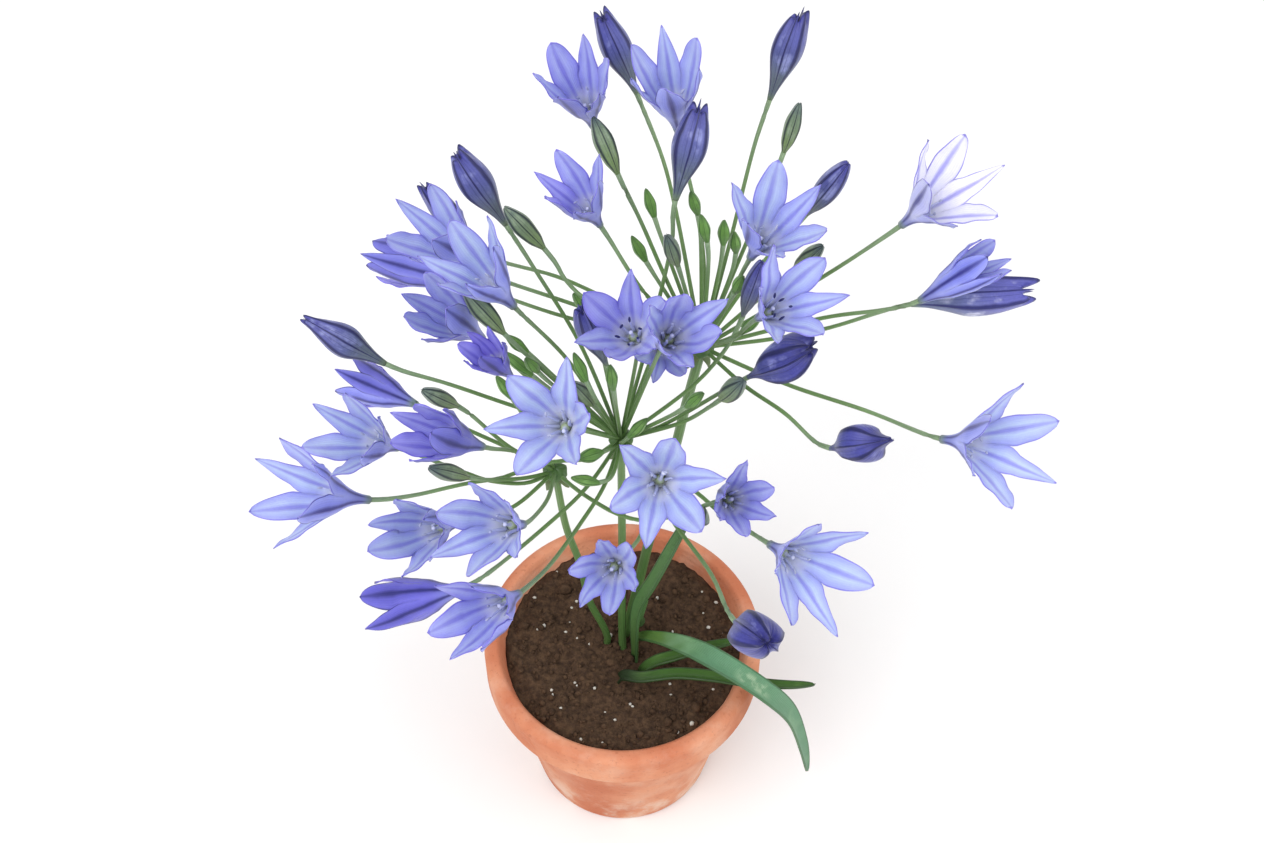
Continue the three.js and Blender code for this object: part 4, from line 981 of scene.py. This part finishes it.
def stemMaterial():
    # green with lengthwise lines; stalklets (tone 0) turn greyer upwards, scapes (1) darker downwards
    material, tree, shader = newMaterial("stemGreen", 0.42, 0.45, glow=0.06)
    across, along = pieceUv(tree)
    thin = addMix(tree, addRamp(tree, along, 0.55, 1.0), tint(104, 138, 76), tint(138, 162, 124))
    thick = addMix(tree, addRamp(tree, along, 0.1, 0.6), tint(96, 130, 72), tint(74, 106, 54))
    body = addMix(tree, pieceTone(tree), thin, thick)
    line = useGroup(tree, veins, Across=across, Along=along, Lines=9)["Line"]
    body = addMix(tree, times(tree, line, 0.3), body, tint(72, 106, 56))
    living = useGroup(tree, mottle, Colour=body, Patches=0.5, Grain=0.25, Size=1.4)
    coat(tree, shader, living["Colour"], line, 0.0002, 0.5)
    return material


stemLook = stemMaterial()
bractLook = toneMaterial("bractPaper", bract["colour"], bract["dry"], 0.6)


def growUmbel(name, umbel, rng):
    # a scape with its knob and bracts, a stalklet to each of its flowers and buds, and its green buds
    hub = seen(umbel["hub"], umbel["near"])
    scape = scapeLine(umbel)
    scapeRadius = np.linspace(umbel["radius"] * stem["scapeTop"], umbel["radius"], stem["scapeRows"]) * mm
    thick = tube(scape, scapeRadius, stem["scapeSides"], tone=1.0, ridge=stem["ridge"], ridges=stem["ridges"])
    parts = [thick, knobPart(hub, rng)]
    cases = []
    pedicelPlace = np.linspace(0, 1, stem["pedicelRows"])
    pedicelRadius = stem["pedicel"] * mm * np.interp(pedicelPlace, *zip(*stem["swell"]))

    def addStalklet(start, row, base, axis, sunk):
        line = pedicelLine(start, row, base, axis, sunk)
        parts.append(tube(line, pedicelRadius, stem["pedicelSides"], tone=0.0))

    for bloom in [b for b in blooms if b["umbel"] == name]:
        base, axis = bloomPlace(bloom)[:2]
        addStalklet(umbels[bloom.get("stem", name)], bloom, base, axis, stem["sunkFlower"])
    for rows, length, form, material in ((largeBuds, budForm["length"], None, 0),
                                         (mediumBuds, stem["mediumLength"], mediumForm, 0),
                                         (smallBuds, stem["smallLength"], smallForm, 1)):
        for row in [b for b in rows if b["umbel"] == name]:
            base = seen(row["base"], row["near"])
            tip = reach(base, row["tip"], length * mm)
            addStalklet(umbel, row, base, unit(tip - base), stem["sunkBud"])
            if form:
                cases.append(budPart(base, tip, row.get("width", stem["smallWidth"]), form, rng, material))
    makePiece(f"umbel_{name}_stems", parts, [stemLook], "stalk", [f"stalk_{name}"])
    makePiece(f"umbel_{name}_green_buds", cases, [greyBud, greenBud], "stalk")
    down = unit(scape[5] - hub)
    scales = [bractPart(hub, down, turn, rng) for turn in bract["turns"]]
    makePiece(f"umbel_{name}_bracts", scales, [bractLook], "stalk", wall=bract["wall"] * mm)


for number, (name, umbel) in enumerate(umbels.items()):
    growUmbel(name, umbel, np.random.default_rng(stem["seed"] + number))
print("stems built")


# Leaves
# path: pixels and heights above the floor in millimetres; channel: depth, of half the width; the number after
# channel: how strong the painted shade near the collar is, shade where the real leaf folds
# painted shade: the colour the leaves darken to near the collar, and the share of the way by which that has
# faded
leafForm = dict(soil=78, buried=15, collar=3, wall=0.9, foot=1.9, full=(0.1, 0.4), paintedShadeEnds=(0.2, 0.42),
                ripple=0.16, rows=110, across=14, paintedShadeColour=(28, 42, 26), seed=700)
leaves = [
    dict(name="leaf_broad", foot=(5.7, 2.2), width=8.4, slot="leaf", channel=0.16, paintedShade=0.0,
         path=[(660, 722, 92), (700, 735, 103), (740, 757, 105), (775, 780, 99), (802, 803, 80),
               (817, 838, 52), (824, 868, 26)]),
    dict(name="leaf_trailing", foot=(0, -14), width=4.6, slot="dark_leaf", channel=0.24, paintedShade=0.85,
         path=[(644, 766, 87), (680, 762, 90), (720, 765, 92), (765, 772, 91), (800, 774, 89),
               (832, 773, 84)]),
    dict(name="leaf_short", foot=(7.5, -12), width=4.6, slot="dark_leaf", channel=0.24, paintedShade=0.85,
         path=[(657, 749, 87), (680, 742, 91), (715, 732, 95), (752, 724, 98)]),
    dict(name="leaf_upright", foot=(5.3, -4.4), width=5.6, slot="dark_leaf", channel=0.3, paintedShade=0.3,
         light=True, path=[(640, 690, 104), (660, 655, 125), (690, 600, 155), (700, 580, 165)]),
    dict(name="leaf_slender", foot=(6.8, 9), width=3.6, slot="dark_leaf", channel=0.2, paintedShade=0.3,
         light=True, path=[(640, 702, 92), (648, 680, 105)]),
]
leafRamps = dict(body=(0.2, 0.4), patch=(0.54, 0.68, 0, 0.6), edge=(0.84, 0.96, 0, 0.75),
                 highlightFrom=(0.435, 0.47), highlightTo=(0.51, 0.56, 1, 0), highlightOff=(0.35, 0.85, 1, 0),
                 highlightSpots=(0.42, 0.56, 0.05, 0.5))


def leafPart(leaf, rng):
    # a channelled strip: middle + across u h + face (2 channel h u ** 2 + a soft ripple), h narrow in the
    # soil, full from 0.4 of the way and closing as (1 - s ** 5) ** 0.5
    foot = np.array([*leaf["foot"], leafForm["soil"] - leafForm["buried"]]) * mm
    collar = np.array([*leaf["foot"], leafForm["soil"] + leafForm["collar"]]) * mm
    path = [seenAtHeight((x, y), height) for x, y, height in leaf["path"]]
    line = smoothLine([foot, collar, *path], leafForm["rows"])
    heading = unit(np.gradient(line, axis=0))
    flat = (path[-1] - foot) * (1, 1, 0)
    level = unit(np.array([-flat[1], flat[0], 0]))
    across = unit(level - heading * (heading @ level)[:, None])
    face = np.cross(heading, across)
    s = np.linspace(0, 1, leafForm["rows"])[:, None]
    half = lerp(leafForm["foot"], leaf["width"] / 2, softStep(s, *leafForm["full"]))
    half = half * np.sqrt(np.maximum(1 - s ** 5, 4e-4))
    u = np.linspace(1, -1, leafForm["across"] + 1)[None]
    ripple = leafForm["ripple"] * half / 5 * np.sin(14 * s + rng.uniform(0, 6)) * u
    lift = half * leaf["channel"] * 2 * u ** 2 + ripple
    grid = line[:, None] + mm * ((half * u)[..., None] * across[:, None] + lift[..., None] * face[:, None])
    # painted shade: rows near the collar carry a tone that darkens the blade there, shade where the real leaf
    # folds
    shade = leaf["paintedShade"] * (1 - softStep(s, *leafForm["paintedShadeEnds"]))
    return surface(grid, tone=np.repeat(shade, leafForm["across"] + 1))


def leafMaterial(name, base, body, edge, pale, roughness, paintedHighlight=None):
    # long veins, a colour that shifts from the foot outward, a darker margin and pale patches; the optional
    # last argument is a painted highlight's tint, laid in spots across the middle of the blade, and the
    # piece's tone paints shade near the collar
    material, tree, shader = newMaterial(name, roughness, 0.4, glow=0.05)
    across, along = pieceUv(tree)
    place = objectPlace(tree)
    off = offMiddle(tree, across)
    ramp = leafRamps
    shade = addMix(tree, addRamp(tree, along, *ramp["body"]), tint(*base), tint(*body))
    line = useGroup(tree, veins, Across=across, Along=along, Lines=16)["Line"]
    shade = addMix(tree, times(tree, line, 0.22), shade, tint(*edge))
    shade = addMix(tree, addRamp(tree, addNoise(tree, place, 55, 2), *ramp["patch"]), shade, tint(*pale))
    # painted highlight: a pale tint in a band across the middle of the blade, broken into spots
    if paintedHighlight:
        highlightShare = times(tree, addRamp(tree, along, *ramp["highlightFrom"]), addRamp(tree, along, *ramp["highlightTo"]))
        highlightShare = times(tree, highlightShare, addRamp(tree, off, *ramp["highlightOff"]))
        highlightShare = times(tree, highlightShare, addRamp(tree, addNoise(tree, place, 260), *ramp["highlightSpots"]))
        shade = addMix(tree, highlightShare, shade, tint(*paintedHighlight))
    shade = addMix(tree, addRamp(tree, off, *ramp["edge"]), shade, tint(*edge))
    # painted shade: the tone darkens the colour near the collar
    shade = addMix(tree, pieceTone(tree), shade, tint(*leafForm["paintedShadeColour"]))
    living = useGroup(tree, mottle, Colour=shade, Patches=0.3, Grain=0.22, Size=1.0)
    coat(tree, shader, living["Colour"], line, 0.00025, 0.55)
    return material


blueLeaf = leafMaterial("blueLeaf", base=(98, 138, 62), body=(98, 146, 110), edge=(58, 94, 56),
                        pale=(124, 164, 124), roughness=0.46, paintedHighlight=(176, 198, 164))
darkLeaf = leafMaterial("darkLeaf", base=(66, 104, 42), body=(68, 106, 40), edge=(34, 58, 24),
                        pale=(104, 142, 72), roughness=0.42)
lightLeaf = leafMaterial("lightLeaf", base=(84, 118, 58), body=(90, 130, 76), edge=(52, 84, 46),
                         pale=(120, 156, 102), roughness=0.44)
for number, leaf in enumerate(leaves):
    part = leafPart(leaf, np.random.default_rng(leafForm["seed"] + number))
    look = blueLeaf if leaf["slot"] == "leaf" else lightLeaf if leaf.get("light") else darkLeaf
    name, slot = leaf["name"], leaf["slot"]
    makePiece(name + "_blade", [part], [look], slot, [name], wall=leafForm["wall"] * mm)
print("leaves built")


# Clay pot
# footEdge, rimStep, lip and inner are how far the outline steps at its corners; edge rounds them all
pot = dict(height=86, foot=35, neck=45.5, rim=52, rimHeight=19, wall=5, floor=6, footEdge=1.5,
           rimStep=(1, 1.5, 3), lip=2, lipSlope=1.2, inner=(4, 1, 2), edge=0.85, edgeSegments=3,
           edgeAngle=22, sides=96, drains=3, drain=4, drainSides=32, drainCircle=18, drainTurn=0.4,
           drainReach=(-3, 12))
clay = dict(body=(190, 112, 80), light=(216, 150, 116), lime=(226, 214, 198), dark=(140, 78, 56),
            lightSpots=(0.35, 0.68), darkSpots=(0.56, 0.72, 0, 0.35), limeSpots=(0.45, 0.66),
            limeLow=(0.004, 0.034, 0.6, 0.12), limeHigh=(0.052, 0.064), limeRim=(0.066, 0.074, 1, 0.2),
            limeHighShare=0.55, ringSway=0.002, rings=2600, ringDepth=0.12)


def drillPot(body, turn):
    # cuts one round hole through the floor, by a cylinder that is taken away again
    spot = np.array([math.cos(turn), math.sin(turn), 0]) * pot["drainCircle"] * mm
    line = spot + np.array([0, 0, 1]) * np.linspace(*pot["drainReach"], 4)[:, None] * mm
    drill = tube(line, pot["drain"] * mm, pot["drainSides"])
    cutter = bpy.data.meshes.new("drill")
    cutter.from_pydata(drill["points"], [], drill["quads"].tolist() + drill["fans"].tolist())
    tool = newObject("drill", cutter)
    cut = body.modifiers.new("hole", "BOOLEAN")
    cut.object, cut.operation, cut.solver = tool, "DIFFERENCE", "EXACT"
    drilled = bpy.data.meshes.new_from_object(body.evaluated_get(bpy.context.evaluated_depsgraph_get()))
    body.modifiers.remove(cut)
    body.data = drilled
    bpy.data.objects.remove(tool)


def potPiece():
    # the outline turned about the upright axis, its corners rounded, with drainage holes
    foot, neck, rim, top, wall = pot["foot"], pot["neck"], pot["rim"], pot["height"], pot["wall"]
    rimFoot = top - pot["rimHeight"]
    (stepOut, stepUp, stepTop), (innerDrop, floorUp, floorIn) = pot["rimStep"], pot["inner"]
    outline = np.array([(foot - pot["footEdge"], 0), (foot, pot["footEdge"]), (neck, rimFoot),
                        (rim - stepOut, rimFoot + stepUp), (rim, rimFoot + stepTop), (rim, top - pot["lip"]),
                        (rim - pot["lip"], top), (rim - wall, top),
                        (rim - wall - pot["lipSlope"], top - pot["lip"]), (neck - wall, rimFoot - innerDrop),
                        (foot - wall, pot["floor"] + floorUp), (foot - wall - floorIn, pot["floor"])]) * mm
    angle = np.linspace(0, 2 * math.pi, pot["sides"], endpoint=False)
    grid = np.stack([outline[:, :1] * np.cos(angle), outline[:, :1] * np.sin(angle),
                     np.broadcast_to(outline[:, 1:], (len(outline), len(angle)))], -1)
    body = makePiece("pot_clay", [surface(grid, closed=True)], [clayMaterial()], "clay", ["pot"])
    for i in range(pot["drains"]):
        drillPot(body, 2 * math.pi * i / pot["drains"] + pot["drainTurn"])
    body.data.name = "pot_clay"
    rounded = body.modifiers.new("rounded", "BEVEL")
    rounded.width, rounded.segments = pot["edge"] * mm, pot["edgeSegments"]
    rounded.limit_method, rounded.angle_limit = "ANGLE", math.radians(pot["edgeAngle"])
    rounded.use_clamp_overlap = True


def clayMaterial():
    # fired clay: grain, turning rings sin(rings (height + sway)), lime bloom low down and under the rim
    material, tree, shader = newMaterial("clay", 0.86, 0.25)
    place = objectPlace(tree)
    height = partsOf(tree, place)["Z"]
    broad = addNoise(tree, place, 28, 4)
    fine = addNoise(tree, place, 700, 3, 0.7)
    salts = addNoise(tree, place, 60, 6, 0.68)
    body = addMix(tree, addRamp(tree, broad, *clay["lightSpots"]), tint(*clay["body"]), tint(*clay["light"]))
    body = addMix(tree, addRamp(tree, fine, *clay["darkSpots"]), body, tint(*clay["dark"]))
    under = times(tree, addRamp(tree, height, *clay["limeHigh"]), addRamp(tree, height, *clay["limeRim"]))
    limeShare = addMath(tree, "MAXIMUM", addRamp(tree, height, *clay["limeLow"]),
                        times(tree, under, clay["limeHighShare"]))
    lime = times(tree, addRamp(tree, salts, *clay["limeSpots"]), limeShare)
    body = addMix(tree, lime, body, tint(*clay["lime"]))
    turned = times(tree, plus(tree, height, times(tree, broad, clay["ringSway"])), clay["rings"])
    relief = plus(tree, times(tree, addMath(tree, "SINE", turned), clay["ringDepth"]), fine)
    coat(tree, shader, body, relief, 0.0005, 0.5)
    return material


potPiece()
print("pot built")


# Soil
# crumb sizes are chance numbers of a gamma spread; grit are the larger white grains
soil = dict(level=78, radius=44.3, depth=2.2, rough=0.9, rise=0.5, sag=0.9, waves=26, waveSteps=(0.35, 2.6),
            rows=46, sides=150, crumbs=620, crumbSize=(3, 0.22), crumbLeast=0.25, grit=46,
            gritSize=(0.5, 1.0), edge=1.5, perch=0.3, stretch=(0.65, 1.25), chip=(0.82, 1.15), seed=900,
            dark=(54, 40, 31), light=(94, 72, 54), grain=(206, 202, 192))


def crumbShape():
    # a ball of twelve corners, (1, golden, 0) with either sign and its turned copies, and its triangles
    golden = (1 + 5 ** 0.5) / 2
    signs = [(first, second) for first in (-1, 1) for second in (-1, 1)]
    corners = ([(i, j * golden, 0) for i, j in signs] + [(0, i, j * golden) for i, j in signs]
               + [(i * golden, 0, j) for i, j in signs])
    hull = bmesh.new()
    for corner in unit(np.array(corners)):
        hull.verts.new(corner)
    bmesh.ops.convex_hull(hull, input=hull.verts)
    hull.verts.index_update()
    shape = np.array([v.co for v in hull.verts])
    sides = np.array([[v.index for v in face.verts] for face in hull.faces])
    hull.free()
    return shape, sides


def soilTopping():
    # a lumpy round sheet: level - sag (r / radius) ** 2 + rise + rough times a sum of sine waves in all
    # directions, and loose crumbs on it
    rng = np.random.default_rng(soil["seed"])
    count, level, radius = soil["waves"], soil["level"], soil["radius"]
    waveAngle = rng.uniform(0, math.pi, count)
    waveStep = rng.uniform(*soil["waveSteps"], count)
    phase = rng.uniform(0, 6.3, count)

    def height(x, y):
        travel = x[..., None] * np.cos(waveAngle) + y[..., None] * np.sin(waveAngle)
        return soil["rough"] * (np.sin(travel * waveStep + phase) / (1 + waveStep)).sum(-1) / 2.2

    r, a = np.meshgrid(radius * np.linspace(0.01, 1, soil["rows"]),
                       np.linspace(0, 2 * math.pi, soil["sides"], endpoint=False), indexing="ij")
    x, y = r * np.cos(a), r * np.sin(a)
    top = np.stack([x, y, level - soil["sag"] * (r / radius) ** 2 + soil["rise"] + height(x, y)], -1)
    under = np.stack([x[-1], y[-1], np.full(soil["sides"], level - soil["depth"])], -1)[None]
    sheet = surface(np.concatenate([top, under])[::-1] * mm, closed=True, tone=0.2)

    shape, sides = crumbShape()
    count = soil["crumbs"] + soil["grit"]
    isCrumb = np.arange(count) < soil["crumbs"]
    spread = (radius - soil["edge"]) * np.sqrt(rng.uniform(0, 1, count))
    turn = rng.uniform(0, 2 * math.pi, count)
    x, y = spread * np.cos(turn), spread * np.sin(turn)
    size = np.where(isCrumb, rng.gamma(*soil["crumbSize"], count) + soil["crumbLeast"],
                    rng.uniform(*soil["gritSize"], count))
    z = level - soil["sag"] * (spread / radius) ** 2 + soil["rise"] + height(x, y) + size * soil["perch"]
    corners = len(shape)
    stretch = rng.uniform(*soil["stretch"], (count, 1, 3)) * rng.uniform(*soil["chip"], (count, corners, 1))
    points = (np.stack([x, y, z], -1)[:, None] + shape[None] * stretch * size[:, None, None]) * mm
    faces = sides[None] + (np.arange(count) * corners)[:, None, None]
    tone = np.where(isCrumb, rng.uniform(0, 0.6, count), 1.0)
    crumbs = dict(points=points.reshape(-1, 3), quads=np.zeros((0, 4), int), quadUv=np.zeros((0, 4, 2)),
                  fans=faces.reshape(-1, 3), fanUv=np.zeros((count * len(sides), 3, 2)),
                  tone=np.repeat(tone, corners), material=0)
    return [sheet, crumbs]


def soilMaterial():
    # dark crumbs with lighter ones between, by noise and tone, and white grains where the tone is 1
    material, tree, shader = newMaterial("pottingSoil", 0.95, 0.15)
    tone = pieceTone(tree)
    fine = addNoise(tree, objectPlace(tree), 420, 5, 0.7)
    body = addMix(tree, addRamp(tree, fine, 0.3, 0.75), tint(*soil["dark"]), tint(*soil["light"]))
    body = addMix(tree, addRamp(tree, tone, 0.1, 0.6, 0, 0.5), body, tint(*soil["light"]))
    body = addMix(tree, addRamp(tree, tone, 0.85, 0.95), body, tint(*soil["grain"]))
    coat(tree, shader, body, fine, 0.0012, 0.8)
    return material


def cormMaterial():
    # a netted brown coat, for the corms that stay the solids they are
    material, tree, shader = newMaterial("cormCoat", 0.8, 0.2)
    net = addNoise(tree, objectPlace(tree), 500, 4, 0.7)
    body = addMix(tree, addRamp(tree, net, 0.4, 0.65), tint(112, 82, 52), tint(168, 132, 88))
    coat(tree, shader, body, net, 0.0006, 0.6)
    return material


soilLook, cormLook = soilMaterial(), cormMaterial()
makePiece("soil_topping", soilTopping(), [soilLook], "soil")
for node, look in [("soil", soilLook), *[(f"corm_{name}", cormLook) for name in umbels]]:
    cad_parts[node].data.materials.clear()
    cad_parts[node].data.materials.append(look)
print("soil built")


# Floor
def floorPiece():
    # one square, floorSize metres across, with a faint mottle
    half = studio["floorSize"] / 2
    mesh = bpy.data.meshes.new("floor")
    corners = [(-half, -half, 0), (half, -half, 0), (half, half, 0), (-half, half, 0)]
    mesh.from_pydata(corners, [], [(0, 1, 2, 3)])
    floor = newObject("floor", mesh)
    material, tree, shader = newMaterial("floorPaint", 0.9, 0.1)
    shade = useGroup(tree, mottle, Colour=tint(*studio["floor"]), Patches=0.02, Grain=0.01, Size=0.1)
    tree.links.new(shade["Colour"], shader.inputs["Base Color"])
    mesh.materials.append(material)


floorPiece()
